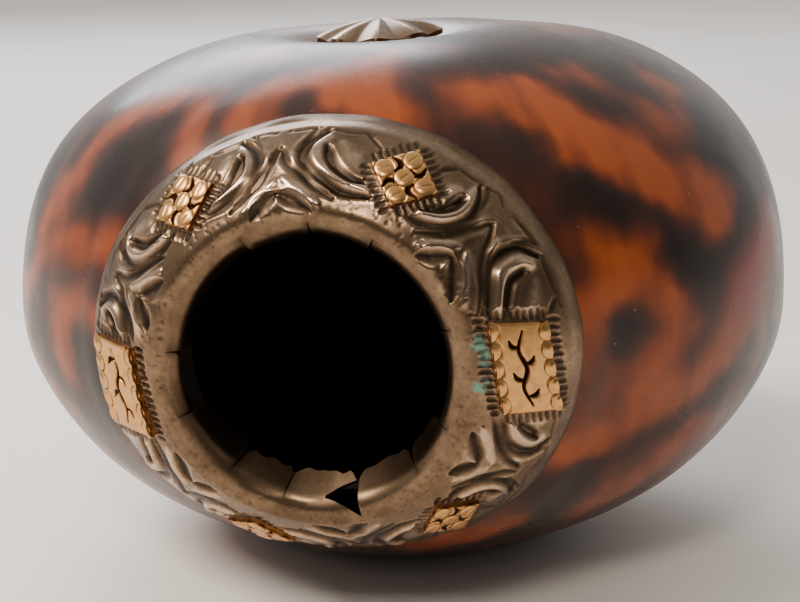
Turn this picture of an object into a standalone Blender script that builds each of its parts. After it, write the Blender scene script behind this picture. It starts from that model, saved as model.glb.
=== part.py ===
"""Mate: a flat drinking gourd lying on its side, with a chased nickel-silver mouth collar.

Metres, +Z up, mouth towards -Y. The origin is on the table, under the middle of the whole.
The gourd is modelled round its own waist plane, where it is widest, and an empty carries
every piece from there to its place above the table.
"""
from math import atan2, cos, exp, hypot, pi, radians, sin, sqrt, tan

import bmesh
import bpy
from mathutils import Matrix, Vector

# Gourd: a flattened globe, grown a little higher at the front and on the right
GOURD_RADIUS = 0.0600
CROWN_HEIGHT = 0.0438
CROWN_FULLNESS = 2.64
UNDERSIDE_DEPTH = 0.0407
UNDERSIDE_FULLNESS = 1.82
RUBBED_DEPTH = 0.0032
LEAN_RIGHT = 0.0024
LEAN_FRONT = 0.0035
WALL = 0.0045
BLOSSOM_SCAR_RADIUS = 0.0030
BLOSSOM_SCAR_DEPTH = 0.0006

# Dimple round the stem scar, on the crown
STEM_X = -0.0007
STEM_Y = -0.0105
DIMPLE_RADIUS = 0.0110
DIMPLE_DEPTH = 0.0062

# Collar: one sheet, laid on the skin round the mouth, rolled at the lip and turned in
MOUTH_X = 0.0020
MOUTH_RISE = 0.0033
COLLAR_RADIUS = 0.0324
COLLAR_OVAL = 0.0013
COLLAR_OVAL_TURN = radians(8)
COLLAR_RAISE = 0.0004
SHEET = 0.0008
LIP_RADIUS = 0.0206
LIP_ROLL = 0.0028
LIP_STAND = 0.0042
ROLL_END = radians(60)
BAND_FLATNESS = 0.25
SLEEVE_DEPTH = 0.0065
CLEARANCE = 0.0003

# Slits that part the sleeve into tabs, as angles round the mouth from +X towards +Z
SLIT_ANGLES = (-158, -129, -105, -74, -44, -22, 18, 64, 90, 118, 175)
SLIT_WIDTH = 0.0009
SLIT_REACH = 0.0020
TEAR_START = radians(-84)
TEAR_END = radians(-74)
TEAR_REACH = 0.0025
TEAR_DEPTH = 0.0014

# Gold plaques on the collar: place on it, and turn of each on its own centre
PLAQUE_TOWARDS_LIP = 0.0002
PLAQUE_SHEET = 0.0006
LONG_PLAQUE_LENGTH = 0.0122
LONG_PLAQUE_WIDTH = 0.0087
LONG_PLAQUE_SLANT = radians(-14.5)
LONG_PLAQUE_SCALLOPS = 5
SCALLOP_DEPTH = 0.0004
LONG_PLAQUES = {
    "long_plaque_right": (radians(1.3), radians(-9)),
    "long_plaque_left": (radians(189), radians(-4)),
}
FLOWER_SIDE = 0.0067
BOSS_RADIUS = 0.0013
BOSS_RISE = 0.00025
BOSS_SPACING = 0.0020
FLOWER_PLAQUES = {
    "flower_plaque_upper_right": (radians(64.4), radians(41)),
    "flower_plaque_upper_left": (radians(130), radians(55)),
    "flower_plaque_lower_left": (radians(248.5), radians(38)),
    "flower_plaque_lower_right": (radians(308), radians(55)),
}

# Rosette cap over the stem scar, and the split pin that holds it
CAP_RADIUS = 0.0091
CAP_RISE = 0.0025
CAP_FLUTES = 9
CAP_FLUTE_DEPTH = 0.0005
CAP_SHEET = 0.0007
PIN_HEAD_REACH = 0.0026
PIN_LEG_THICKNESS = 0.0010
PIN_LEG_WIDTH = 0.0022
PIN_FOOT_REACH = 0.0075

# Facets
GOURD_SEGMENTS = 64
GOURD_RINGS = 22
HOLLOW_SEGMENTS = 40
HOLLOW_RINGS = 15
BORE_SEGMENTS = 64
COLLAR_SEGMENTS = 84
BAND_STEPS = 7
ROLL_STEPS = 6
PLAQUE_CELLS = 10
CAP_SEGMENTS = 45
CAP_RINGS = 5

# Working limits: passes that settle the crown's lean, the step that slopes are read over,
# the distance that closes a pole, and the angle past which an edge is shaded sharp
LEAN_PASSES = 12
SLOPE_STEP = 3e-6
MERGE_DISTANCE = 1e-6
SHARP_ANGLE = radians(35)

WAIST_HEIGHT = UNDERSIDE_DEPTH - RUBBED_DEPTH
BORE_RADIUS = LIP_RADIUS - LIP_ROLL
MOUTH_RADIUS = BORE_RADIUS + SHEET + CLEARANCE
BAND_START = LIP_RADIUS + LIP_ROLL * cos(ROLL_END)
PLAQUE_RADIUS = (BAND_START + COLLAR_RADIUS) / 2 - PLAQUE_TOWARDS_LIP
STEM_HOLE_RADIUS = hypot(PIN_LEG_THICKNESS + CLEARANCE / 2, PIN_LEG_WIDTH / 2) + CLEARANCE


def crown_lean(x, y):
    """Share by which the crown grows taller at a plan point."""
    return (LEAN_RIGHT * x - LEAN_FRONT * y) / (GOURD_RADIUS * CROWN_HEIGHT)


def grown(x, y, z):
    """Height of a gourd point above the waist, with the crown's lean and the stem dimple."""
    if z <= 0.0:
        return z
    from_stem = hypot(x - STEM_X, y - STEM_Y) / DIMPLE_RADIUS
    return z * (1.0 + crown_lean(x, y)) - DIMPLE_DEPTH * exp(-from_stem * from_stem)


def crown_height(x, y, inset=0.0):
    """Height of the crown's skin, or of the wall's inner face, at a plan point."""
    share = hypot(x, y) / (GOURD_RADIUS - inset)
    even = (1.0 - share**CROWN_FULLNESS) ** (1.0 / CROWN_FULLNESS)
    return grown(x, y, (CROWN_HEIGHT - inset) * even)


def skin_radius(z):
    """Plan radius of the skin at a height from the waist, before the crown leans."""
    height, fullness = CROWN_HEIGHT, CROWN_FULLNESS
    if z < 0.0:
        height, fullness = UNDERSIDE_DEPTH, UNDERSIDE_FULLNESS
    rest = max(1.0 - abs(z / height) ** fullness, 0.0)
    return GOURD_RADIUS * rest ** (1.0 / fullness)


def mouth_plane(rho, psi):
    """X and Z of a point at a radius and an angle round the mouth's axis."""
    return MOUTH_X + rho * cos(psi), MOUTH_RISE + rho * sin(psi)


def skin_front(rho, psi):
    """Y of the gourd's skin at a radius and an angle round the mouth's axis."""
    x, z = mouth_plane(rho, psi)
    y = -GOURD_RADIUS
    for _ in range(LEAN_PASSES):
        level = z / (1.0 + crown_lean(x, y)) if z > 0.0 else z
        y = -sqrt(max(skin_radius(level) ** 2 - x * x, 0.0))
    return y


def facing(surface, rho, psi):
    """Outward unit normal of a surface that gives Y over the mouth's plane."""
    turn = SLOPE_STEP / rho
    outward = (surface(rho + SLOPE_STEP, psi) - surface(rho - SLOPE_STEP, psi)) / (2.0 * SLOPE_STEP)
    around = (surface(rho, psi + turn) - surface(rho, psi - turn)) / (2.0 * SLOPE_STEP)
    slope_x = outward * cos(psi) - around * sin(psi)
    slope_z = outward * sin(psi) + around * cos(psi)
    return Vector((slope_x, -1.0, slope_z)).normalized()


def collar_edge(psi):
    """Radius of the collar's outer edge, a hand-cut oval set a little high on the mouth."""
    oval = COLLAR_OVAL * cos(2.0 * (psi - COLLAR_OVAL_TURN))
    return COLLAR_RADIUS + oval + COLLAR_RAISE * sin(psi)


def roll_level(psi):
    """Y of the middle of the lip's roll, which follows the gourd's cut edge."""
    return skin_front(MOUTH_RADIUS, psi) - (LIP_STAND - LIP_ROLL)


def collar_front(rho, psi):
    """Y of the collar's show side, from the crest of the lip out to the collar's edge."""
    level = roll_level(psi)
    if rho < BAND_START:
        return level - sqrt(LIP_ROLL**2 - (rho - LIP_RADIUS) ** 2)
    edge = collar_edge(psi)
    share = (edge - rho) / (edge - BAND_START)
    edge_stand = (CLEARANCE + SHEET) / -facing(skin_front, edge, psi).y
    lip_stand = skin_front(BAND_START, psi) - (level - LIP_ROLL * sin(ROLL_END))
    dome = (2.0 - BAND_FLATNESS) * share - (1.0 - BAND_FLATNESS) * share * share
    return skin_front(rho, psi) - edge_stand - (lip_stand - edge_stand) * dome


def principled(name, colour, roughness, metallic):
    """A plain material in one linear colour."""
    material = bpy.data.materials.new(name)
    material.use_nodes = True
    shader = material.node_tree.nodes["Principled BSDF"]
    shader.inputs["Base Color"].default_value = (*colour, 1.0)
    shader.inputs["Roughness"].default_value = roughness
    shader.inputs["Metallic"].default_value = metallic
    return material


def add_object(name, bm, carrier, material=None):
    """Turn a bmesh into a named, smoothly shaded object on the carrier."""
    bmesh.ops.recalc_face_normals(bm, faces=bm.faces[:])
    mesh = bpy.data.meshes.new(name)
    bm.to_mesh(mesh)
    bm.free()
    mesh.shade_smooth()
    mesh.set_sharp_from_angle(angle=SHARP_ANGLE)
    if material:
        mesh.materials.append(material)
    obj = bpy.data.objects.new(name, mesh)
    bpy.context.scene.collection.objects.link(obj)
    obj.parent = carrier
    return obj


def cut(target, cutter):
    """Take a hidden cutter's shape out of an object."""
    cutter.hide_render = True
    cutter.display_type = "WIRE"
    modifier = target.modifiers.new(cutter.name, "BOOLEAN")
    modifier.operation = "DIFFERENCE"
    modifier.solver = "EXACT"
    modifier.object = cutter


def gourd_profile(inset, rings, scar_depth):
    """Half outline of the gourd from crown to underside, where the table has rubbed it flat."""
    floor = WAIST_HEIGHT - inset
    radius = GOURD_RADIUS - inset
    depth = UNDERSIDE_DEPTH - inset
    flat = (1.0 - (floor / depth) ** UNDERSIDE_FULLNESS) ** (1.0 / UNDERSIDE_FULLNESS)
    lowest = atan2(-floor / depth, flat)
    points = []
    for ring in range(rings + 1):
        angle = pi / 2 + (lowest - pi / 2) * ring / rings
        height, fullness = CROWN_HEIGHT - inset, CROWN_FULLNESS
        if angle < 0.0:
            height, fullness = depth, UNDERSIDE_FULLNESS
        side, rise = abs(cos(angle)), abs(sin(angle))
        reach = (side**fullness + rise**fullness) ** (-1.0 / fullness)
        level = height * reach * rise if angle > 0.0 else -height * reach * rise
        points.append(Vector((radius * reach * side, 0.0, level)))
    points[0].x = 0.0
    points.append(Vector((BLOSSOM_SCAR_RADIUS, 0.0, -floor)))
    points.append(Vector((0.0, 0.0, scar_depth - floor)))
    return points


def revolve(points, segments):
    """Spin a half outline round Z and let it grow into the gourd's own shape."""
    bm = bmesh.new()
    corners = [bm.verts.new(point) for point in points]
    edges = [bm.edges.new(pair) for pair in zip(corners, corners[1:])]
    bmesh.ops.spin(
        bm,
        geom=corners + edges,
        axis=(0, 0, 1),
        cent=(0, 0, 0),
        angle=2.0 * pi,
        steps=segments,
        use_merge=True,
    )
    bmesh.ops.remove_doubles(bm, verts=bm.verts[:], dist=MERGE_DISTANCE)
    for vertex in bm.verts:
        vertex.co.z = grown(*vertex.co)
    return bm


def round_cutter(radius, start, end):
    """A capped cylinder between two points."""
    bm = bmesh.new()
    axis = end - start
    turn = axis.to_track_quat("Z", "Y").to_matrix().to_4x4()
    bmesh.ops.create_cone(
        bm,
        cap_ends=True,
        segments=BORE_SEGMENTS,
        radius1=radius,
        radius2=radius,
        depth=axis.length,
        matrix=Matrix.Translation((start + end) / 2) @ turn,
    )
    return bm


def build_gourd(carrier):
    """The shell: a revolved skin, hollowed, with the mouth and the stem hole bored through."""
    skin = principled("polished_gourd", (0.24, 0.072, 0.022), 0.25, 0.0)
    outer = revolve(gourd_profile(0.0, GOURD_RINGS, BLOSSOM_SCAR_DEPTH), GOURD_SEGMENTS)
    shell = add_object("gourd_shell", outer, carrier, skin)
    inner = revolve(gourd_profile(WALL, HOLLOW_RINGS, 0.0), HOLLOW_SEGMENTS)
    cut(shell, add_object("hollow_cutter", inner, carrier))
    mouth = Vector((MOUTH_X, 0.0, MOUTH_RISE))
    outside = mouth - Vector((0.0, GOURD_RADIUS + LIP_STAND, 0.0))
    cut(shell, add_object("mouth_cutter", round_cutter(MOUTH_RADIUS, outside, mouth), carrier))
    stem = Vector((STEM_X, STEM_Y, 0.0))
    above = stem + Vector((0.0, 0.0, CROWN_HEIGHT + WALL))
    cut(shell, add_object("stem_hole_cutter", round_cutter(STEM_HOLE_RADIUS, stem, above), carrier))


def collar_section(psi):
    """One closed cross-section of the sheet: show side in to the sleeve, and back beneath."""
    level = roll_level(psi)
    edge = collar_edge(psi)
    section = []

    def add(rho, y):
        x, z = mouth_plane(rho, psi)
        section.append(Vector((x, y, z)))

    band = [edge + (BAND_START - edge) * step / BAND_STEPS for step in range(BAND_STEPS)]
    turns = [ROLL_END + (pi - ROLL_END) * step / ROLL_STEPS for step in range(ROLL_STEPS + 1)]
    for rho in band:
        add(rho, collar_front(rho, psi))
    for turn in turns:
        add(LIP_RADIUS + LIP_ROLL * cos(turn), level - LIP_ROLL * sin(turn))
    add(BORE_RADIUS, level + SLEEVE_DEPTH)
    add(BORE_RADIUS + SHEET, level + SLEEVE_DEPTH)
    inner_roll = LIP_ROLL - SHEET
    for turn in reversed(turns):
        add(LIP_RADIUS + inner_roll * cos(turn), level - inner_roll * sin(turn))
    for rho in reversed(band):
        add(rho, collar_front(rho, psi) - SHEET / facing(skin_front, rho, psi).y)
    return section


def sleeve_cutter(psi, width, forward, inward):
    """A block across the sleeve, from a reach in front of the roll's middle to one behind it."""
    bm = bmesh.new()
    near, far = BORE_RADIUS - SHEET, BORE_RADIUS + SHEET + CLEARANCE / 2
    x, z = mouth_plane((near + far) / 2, psi)
    middle = roll_level(psi) + (inward - forward) / 2
    place = Matrix.Translation((x, middle, z)) @ Matrix.Rotation(-psi, 4, "Y")
    size = Matrix.Diagonal((far - near, inward + forward, width, 1.0))
    bmesh.ops.create_cube(bm, size=1.0, matrix=place @ size)
    return bm


def build_collar(carrier):
    """The sheet swept round the mouth, then slit into tabs."""
    silver = principled("aged_nickel_silver", (0.30, 0.26, 0.20), 0.38, 1.0)
    bm = bmesh.new()
    angles = [2.0 * pi * step / COLLAR_SEGMENTS for step in range(COLLAR_SEGMENTS)]
    rings = [[bm.verts.new(point) for point in collar_section(psi)] for psi in angles]
    for ring, following in zip(rings, rings[1:] + rings[:1]):
        for index in range(len(ring)):
            after = (index + 1) % len(ring)
            bm.faces.new((ring[index], ring[after], following[after], following[index]))
    collar = add_object("mouth_collar", bm, carrier, silver)
    for angle in SLIT_ANGLES:
        slit = sleeve_cutter(radians(angle), SLIT_WIDTH, SLIT_REACH, SLEEVE_DEPTH + SHEET)
        cut(collar, add_object("slit_cutter", slit, carrier))
    tear_width = (TEAR_END - TEAR_START) * BORE_RADIUS
    tear = sleeve_cutter((TEAR_START + TEAR_END) / 2, tear_width, TEAR_REACH, TEAR_DEPTH)
    cut(collar, add_object("tear_cutter", tear, carrier))


def on_collar(psi, turn, along, across, stand):
    """A point over the collar, from a plaque's own plane and at a height above the show side."""
    tangent = along * cos(turn) - across * sin(turn)
    outward = along * sin(turn) + across * cos(turn)
    normal = facing(collar_front, PLAQUE_RADIUS, psi)
    slope = hypot(normal.x, normal.z) / -normal.y
    radial = PLAQUE_RADIUS + outward / sqrt(1.0 + slope * slope)
    rho = hypot(radial, tangent)
    angle = psi + atan2(tangent, radial)
    x, z = mouth_plane(rho, angle)
    base = Vector((x, collar_front(rho, angle), z))
    return base + facing(collar_front, rho, angle) * stand


def plate(psi, turn, outline, rise):
    """A thin plate bent over the collar: a grid in its own plane, with a rise on its show side."""
    bm = bmesh.new()
    steps = range(PLAQUE_CELLS + 1)
    layers = []
    for top in (False, True):
        rows = []
        for i in steps:
            row = []
            for j in steps:
                along, across = outline(2.0 * i / PLAQUE_CELLS - 1.0, 2.0 * j / PLAQUE_CELLS - 1.0)
                stand = CLEARANCE
                if top:
                    stand += PLAQUE_SHEET + rise(along, across)
                row.append(bm.verts.new(on_collar(psi, turn, along, across, stand)))
            rows.append(row)
        layers.append(rows)
        for i in range(PLAQUE_CELLS):
            for j in range(PLAQUE_CELLS):
                bm.faces.new((rows[i][j], rows[i + 1][j], rows[i + 1][j + 1], rows[i][j + 1]))
    bottom, top = layers
    rim = [(i, 0) for i in steps[:-1]] + [(PLAQUE_CELLS, j) for j in steps[:-1]]
    rim += [(i, PLAQUE_CELLS) for i in reversed(steps[1:])] + [(0, j) for j in reversed(steps[1:])]
    for (i, j), (k, m) in zip(rim, rim[1:] + rim[:1]):
        bm.faces.new((bottom[i][j], bottom[k][m], top[k][m], top[i][j]))
    return bm


def build_plaques(carrier):
    """Two long plaques with scalloped long edges, and four square ones with five bosses each."""
    gold = principled("rose_gold", (0.62, 0.34, 0.13), 0.32, 1.0)

    def scalloped(u, v):
        wave = abs(cos(pi * LONG_PLAQUE_SCALLOPS * (u + 1.0) / 2.0))
        across = v * (LONG_PLAQUE_WIDTH / 2 - SCALLOP_DEPTH * wave)
        return u * LONG_PLAQUE_LENGTH / 2 + across * tan(LONG_PLAQUE_SLANT), across

    def square(u, v):
        return u * FLOWER_SIDE / 2, v * FLOWER_SIDE / 2

    def flat(along, across):
        return 0.0

    def bosses(along, across):
        corner = hypot(abs(along) - BOSS_SPACING, abs(across) - BOSS_SPACING)
        nearest = min(hypot(along, across), corner) / BOSS_RADIUS
        return BOSS_RISE * sqrt(max(1.0 - nearest * nearest, 0.0))

    for name, (psi, turn) in LONG_PLAQUES.items():
        add_object(name, plate(psi, turn, scalloped, flat), carrier, gold)
    for name, (psi, turn) in FLOWER_PLAQUES.items():
        add_object(name, plate(psi, turn, square, bosses), carrier, gold)


def cap_seat(turn):
    """Height of the skin under the cap's rim, in a direction from the stem."""
    radius = CAP_RADIUS + CAP_FLUTE_DEPTH * cos(CAP_FLUTES * turn)
    return crown_height(STEM_X + radius * cos(turn), STEM_Y + radius * sin(turn))


def cap_level():
    """Mean height of the skin under the cap's rim."""
    turns = [2.0 * pi * step / CAP_SEGMENTS for step in range(CAP_SEGMENTS)]
    return sum(cap_seat(turn) for turn in turns) / CAP_SEGMENTS


def cap_dome(share):
    """Height of the cap's hollow side over its seat, from its rim (1) to its middle (0)."""
    return CLEARANCE + CAP_RISE * (1.0 - share * share)


def build_stem_cap(carrier):
    """A fluted dome of thin sheet, whose rim follows the skin round the dimple."""
    silver = principled("stem_cap_silver", (0.36, 0.32, 0.26), 0.42, 1.0)
    bm = bmesh.new()
    level = cap_level()

    def cap_point(share, turn, thickness):
        flute = cos(CAP_FLUTES * turn) * share * share
        radius = CAP_RADIUS * share + CAP_FLUTE_DEPTH * flute
        x, y = STEM_X + radius * cos(turn), STEM_Y + radius * sin(turn)
        ridge = CAP_FLUTE_DEPTH * flute * (1.0 - share)
        seat = level + (cap_seat(turn) - level) * share
        return bm.verts.new((x, y, seat + cap_dome(share) + ridge + thickness))

    turns = [2.0 * pi * step / CAP_SEGMENTS for step in range(CAP_SEGMENTS)]
    shares = [(step + 1.0) / CAP_RINGS for step in range(CAP_RINGS)]
    rims = []
    for thickness in (0.0, CAP_SHEET):
        middle = cap_point(0.0, 0.0, thickness)
        rings = [[cap_point(share, turn, thickness) for turn in turns] for share in shares]
        for index in range(CAP_SEGMENTS):
            after = (index + 1) % CAP_SEGMENTS
            bm.faces.new((middle, rings[0][index], rings[0][after]))
            for ring, outer in zip(rings, rings[1:]):
                bm.faces.new((ring[index], outer[index], outer[after], ring[after]))
        rims.append(rings[-1])
    for index in range(CAP_SEGMENTS):
        after = (index + 1) % CAP_SEGMENTS
        bm.faces.new((rims[0][index], rims[0][after], rims[1][after], rims[1][index]))
    add_object("stem_cap", bm, carrier, silver)


def build_stem_cap_pin(carrier):
    """A split pin bent from strip: head under the cap, two legs down, feet turned out inside."""
    iron = principled("pin_strip", (0.16, 0.14, 0.12), 0.55, 1.0)
    level = cap_level()
    head_share = PIN_HEAD_REACH / CAP_RADIUS
    head_slope = max(level - cap_seat(turn) for turn in (0.0, pi)) * head_share
    head_top = level - head_slope + cap_dome(head_share) - CLEARANCE
    head_under = head_top - PIN_LEG_THICKNESS
    split = CLEARANCE / 2
    leg = split + PIN_LEG_THICKNESS
    stations = (leg, (leg + PIN_FOOT_REACH) / 2, PIN_FOOT_REACH)

    def under_wall(x):
        edges = (STEM_Y - PIN_LEG_WIDTH / 2, STEM_Y + PIN_LEG_WIDTH / 2)
        return min(crown_height(STEM_X + x, y, WALL) for y in edges) - CLEARANCE

    def leg_outline(side):
        tops = [(side * reach, under_wall(side * reach)) for reach in stations]
        soles = [(x, z - PIN_LEG_THICKNESS) for x, z in reversed(tops)]
        soles[-1] = (side * split, soles[-1][1])
        return [(side * leg, head_under), *tops, *soles, (side * split, head_under)]

    outline = [(-PIN_HEAD_REACH, head_top), (-PIN_HEAD_REACH, head_under)]
    outline += leg_outline(-1.0)
    outline += reversed(leg_outline(1.0))
    outline += [(PIN_HEAD_REACH, head_under), (PIN_HEAD_REACH, head_top)]
    bm = bmesh.new()
    side = STEM_Y - PIN_LEG_WIDTH / 2
    face = bm.faces.new([bm.verts.new((STEM_X + x, side, z)) for x, z in outline])
    pulled = bmesh.ops.extrude_face_region(bm, geom=[face])
    moved = [item for item in pulled["geom"] if isinstance(item, bmesh.types.BMVert)]
    bmesh.ops.translate(bm, verts=moved, vec=(0.0, PIN_LEG_WIDTH, 0.0))
    add_object("stem_cap_pin", bm, carrier, iron)


def main():
    for obj in list(bpy.data.objects):
        bpy.data.objects.remove(obj, do_unlink=True)
    carrier = bpy.data.objects.new("mate_gourd", None)
    bpy.context.scene.collection.objects.link(carrier)
    angles = [2.0 * pi * step / COLLAR_SEGMENTS for step in range(COLLAR_SEGMENTS)]
    front_reach = max(LIP_ROLL - roll_level(psi) for psi in angles)
    carrier.location = (0.0, (front_reach - GOURD_RADIUS) / 2, WAIST_HEIGHT)
    build_gourd(carrier)
    build_collar(carrier)
    build_plaques(carrier)
    build_stem_cap(carrier)
    build_stem_cap_pin(carrier)


main()
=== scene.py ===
"""Looks of a mate: a flat drinking gourd lying on its side, with a chased nickel-silver collar.

Metres, +Z up, mouth towards -Y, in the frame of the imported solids.
"""
from math import cos, pi, radians, sin, tan

import bmesh
import bpy
import numpy as np
from mathutils import Matrix, Vector


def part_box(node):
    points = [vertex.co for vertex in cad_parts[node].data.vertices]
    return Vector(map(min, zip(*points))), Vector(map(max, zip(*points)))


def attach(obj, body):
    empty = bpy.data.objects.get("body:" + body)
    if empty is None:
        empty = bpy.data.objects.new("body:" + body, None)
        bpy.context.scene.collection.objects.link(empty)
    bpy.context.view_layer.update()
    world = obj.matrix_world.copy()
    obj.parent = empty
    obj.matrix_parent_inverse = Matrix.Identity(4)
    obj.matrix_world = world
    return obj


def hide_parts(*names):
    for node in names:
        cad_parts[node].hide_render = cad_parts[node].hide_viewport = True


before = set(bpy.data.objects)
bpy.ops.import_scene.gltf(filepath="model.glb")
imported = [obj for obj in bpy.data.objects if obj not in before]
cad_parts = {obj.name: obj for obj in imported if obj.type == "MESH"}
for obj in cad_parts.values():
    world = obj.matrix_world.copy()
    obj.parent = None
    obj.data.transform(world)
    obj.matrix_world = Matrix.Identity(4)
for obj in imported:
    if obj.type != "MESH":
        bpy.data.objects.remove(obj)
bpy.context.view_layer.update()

# Gourd shell
# A flat bottle gourd, dried and scraped hollow through a mouth sawn in its edge, wall 4.5 mm.
# The skin was browned in flame shapes with a hot iron, then rubbed with grease until it shone.
MM = 0.001
GOURD_RADIUS = 60.0 * MM
CROWN_HEIGHT = 43.8 * MM
CROWN_FULLNESS = 2.64
UNDERSIDE_DEPTH = 40.7 * MM
UNDERSIDE_FULLNESS = 1.82
RUBBED_DEPTH = 3.2 * MM
LEAN_RIGHT = 2.4 * MM
LEAN_FRONT = 3.5 * MM
WALL = 4.5 * MM
SCAR_RADIUS = 3.0 * MM
SCAR_DEPTH = 0.6 * MM
STEM_X = -0.7 * MM
STEM_Y = -10.5 * MM
DIMPLE_RADIUS = 11.0 * MM
DIMPLE_DEPTH = 6.2 * MM
STEM_HOLE_RADIUS = 1.9 * MM
MOUTH_X = 2.0 * MM
MOUTH_RISE = 3.3 * MM
MOUTH_RADIUS = 18.9 * MM
SKIN_COLUMNS = 480
SKIN_RINGS = 152
FLAT_RINGS = 14
HOLLOW_COLUMNS = 96
HOLLOW_RINGS = 40
HOLLOW_FLAT_RINGS = 6
UNEVENNESS = 0.22 * MM
RIPPLE_WAVES = 14
DRILL_SIDES = 128
WAIST_HEIGHT = UNDERSIDE_DEPTH - RUBBED_DEPTH
WAIST = np.array((0.0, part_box("gourd_shell")[1].y - GOURD_RADIUS, WAIST_HEIGHT))

# Scorched flames, and one painted shadow under the front: how dark, half width in millimetres, and
# a path in degrees, as azimuth from the mouth towards the right and height angle above the waist
FLAMES_AND_UNDERSIDE_SHADE = (
    (0.90, 5.5, ((52, 24), (57, 21), (62, 17))),
    (0.90, 6.5, ((-41, 28), (-36, 33), (-31, 39))),
    (0.85, 4.5, ((-33, 27), (-29, 34), (-28, 42))),
    (0.75, 3.4, ((-43, 49), (-36, 53), (-30, 55))),
    (0.60, 3.0, ((-50, 34), (-50, 41), (-47, 47), (-40, 58))),
    (0.55, 4.0, ((-61, 34), (-60, 27), (-57, 21))),
    (0.85, 3.4, ((-16, 50), (-15, 45), (-15, 40))),
    (0.70, 4.0, ((-18, 57), (-8, 58), (2, 57), (9, 55))),
    (0.85, 2.6, ((-5, 44), (-4, 47), (0, 44))),
    (0.80, 2.4, ((13, 49), (14, 44), (13, 40))),
    (0.65, 4.2, ((21, 38), (26, 39), (30, 38))),
    (0.42, 4.4, ((28, 36), (32, 30), (35, 24), (37, 17))),
    (0.85, 3.4, ((34, 49), (40, 47), (45, 44), (50, 40))),
    (0.60, 3.0, ((40, 56), (48, 56), (56, 55), (60, 51))),
    (0.90, 2.0, ((53.7, 35), (53.8, 32.5))),
    (0.95, 3.4, ((40, 29), (42.5, 28), (44, 27))),
    (0.95, 6.0, ((65, 38), (69, 36), (74, 35))),
    (0.80, 2.8, ((59, 53), (60.5, 47), (63, 41))),
    (0.90, 5.4, ((73, 32), (74, 26), (72, 20))),
    (0.95, 3.8, ((70, 17), (63, 18), (57, 20), (52, 21))),
    (0.95, 2.4, ((44, 9), (44, 7))),
    (0.60, 3.0, ((66, 59), (73, 56), (80, 50))),
    (0.75, 2.8, ((41, -17), (47, -14), (55, -10), (62, -6), (69, -1))),
    (0.70, 6.0, ((37, -25), (38, -33), (36, -42))),
    (0.40, 2.2, ((50, 18), (56, 10), (56, 3), (50, -1))),
    (0.45, 1.8, ((-57, 4), (-48, 9.5), (-38, 14), (-32, 14))),
    (0.85, 3.0, ((-35, 4), (-34, 0), (-32, -2))),
    (0.50, 2.4, ((-49, 5), (-50, -2), (-47, -9))),
    (0.50, 3.4, ((-62, 16), (-56, 18), (-51, 22))),
    (0.40, 3.2, ((-52, -22), (-44, -17), (-36, -14))),
    (0.50, 4.6, ((-37, -22), (-34, -32), (-30, -45))),
    # Painted shade: a dark band across the underside in front, copied to the back with the rest
    (0.70, 5.0, ((-22, -50), (0, -54), (22, -50))),
    (0.45, 9.0, ((84, 30), (90, 10), (88, -14))),
    (0.35, 9.0, ((-92, 20), (-96, 0), (-90, -20))),
)
# Bands that the iron spared, written the same way
SPARED = (
    (0.95, 3.2, ((-50, 23), (-45, 31), (-42, 39), (-34, 46), (-27, 54), (-20, 59))),
    (0.90, 2.8, ((-23, 50), (-22, 43), (-20, 36))),
    (0.95, 2.6, ((-12, 41), (-11, 48), (-6, 52), (1, 51), (3, 47))),
    (0.95, 3.6, ((7, 56), (9, 49), (12, 42))),
    (1.00, 4.2, ((16, 57), (24, 52), (31, 47), (42, 39), (52, 31), (61, 24))),
    (0.90, 2.6, ((-64, 6), (-53, 11), (-47, 16), (-39, 21), (-30, 22))),
    (0.90, 3.0, ((-70, -6), (-60, -3), (-54, -9), (-48, -16))),
    (0.85, 2.4, ((-41, -3), (-41, 5), (-36, 10), (-30, 9))),
    (0.95, 3.2, ((36, -15), (47, -10), (58, -4), (68, 5))),
    (0.80, 3.6, ((61, -18), (55, -27), (48, -35))),
    (0.80, 3.4, ((16, -47), (24, -42), (31, -37))),
    (0.90, 2.8, ((36, 5), (38, 12), (44, 15), (51, 12), (52, 5), (47, -1))),
    (0.80, 2.6, ((38, 21), (43, 20), (47, 21))),
    (0.60, 3.6, ((-62, -26), (-50, -32), (-38, -38))),
    (0.70, 3.0, ((70, 46), (62, 38), (56, 40))),
)
CROWN_FLAMES = (
    (0.70, 4.5, ((-70, 62), (-50, 66), (-30, 63))),
    (0.65, 4.0, ((10, 66), (30, 64), (52, 67))),
    (0.70, 4.0, ((95, 58), (120, 64), (150, 60))),
    (0.70, 4.0, ((190, 58), (215, 65), (250, 60))),
    (0.60, 3.5, ((150, 72), (200, 74), (240, 71))),
)
BACK_RINGS = ((178, 22, 11.0), (205, -8, 9.0), (152, -6, 9.5), (100, -14, 8.0), (262, -16, 8.5))
BLUSH = ((67, 9), (73, 13), (80, 17))
FLAME_SOFTNESS = 3.4 * MM
GROUND_SCORCH = 0.36
FLAME_REACH = 14.0 * MM
UNDER_COLLAR = 28.0 * MM


def crown_lean(x, y):
    """Share by which the crown grows taller at a plan point."""
    return (LEAN_RIGHT * x - LEAN_FRONT * y) / (GOURD_RADIUS * CROWN_HEIGHT)


def grown(x, y, z):
    """Height above the waist, once the crown leans and dips round the stem."""
    from_stem = np.hypot(x - STEM_X, y - STEM_Y) / DIMPLE_RADIUS
    crown = z * (1.0 + crown_lean(x, y)) - DIMPLE_DEPTH * np.exp(-from_stem * from_stem)
    return np.where(z > 0.0, crown, z)


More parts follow.
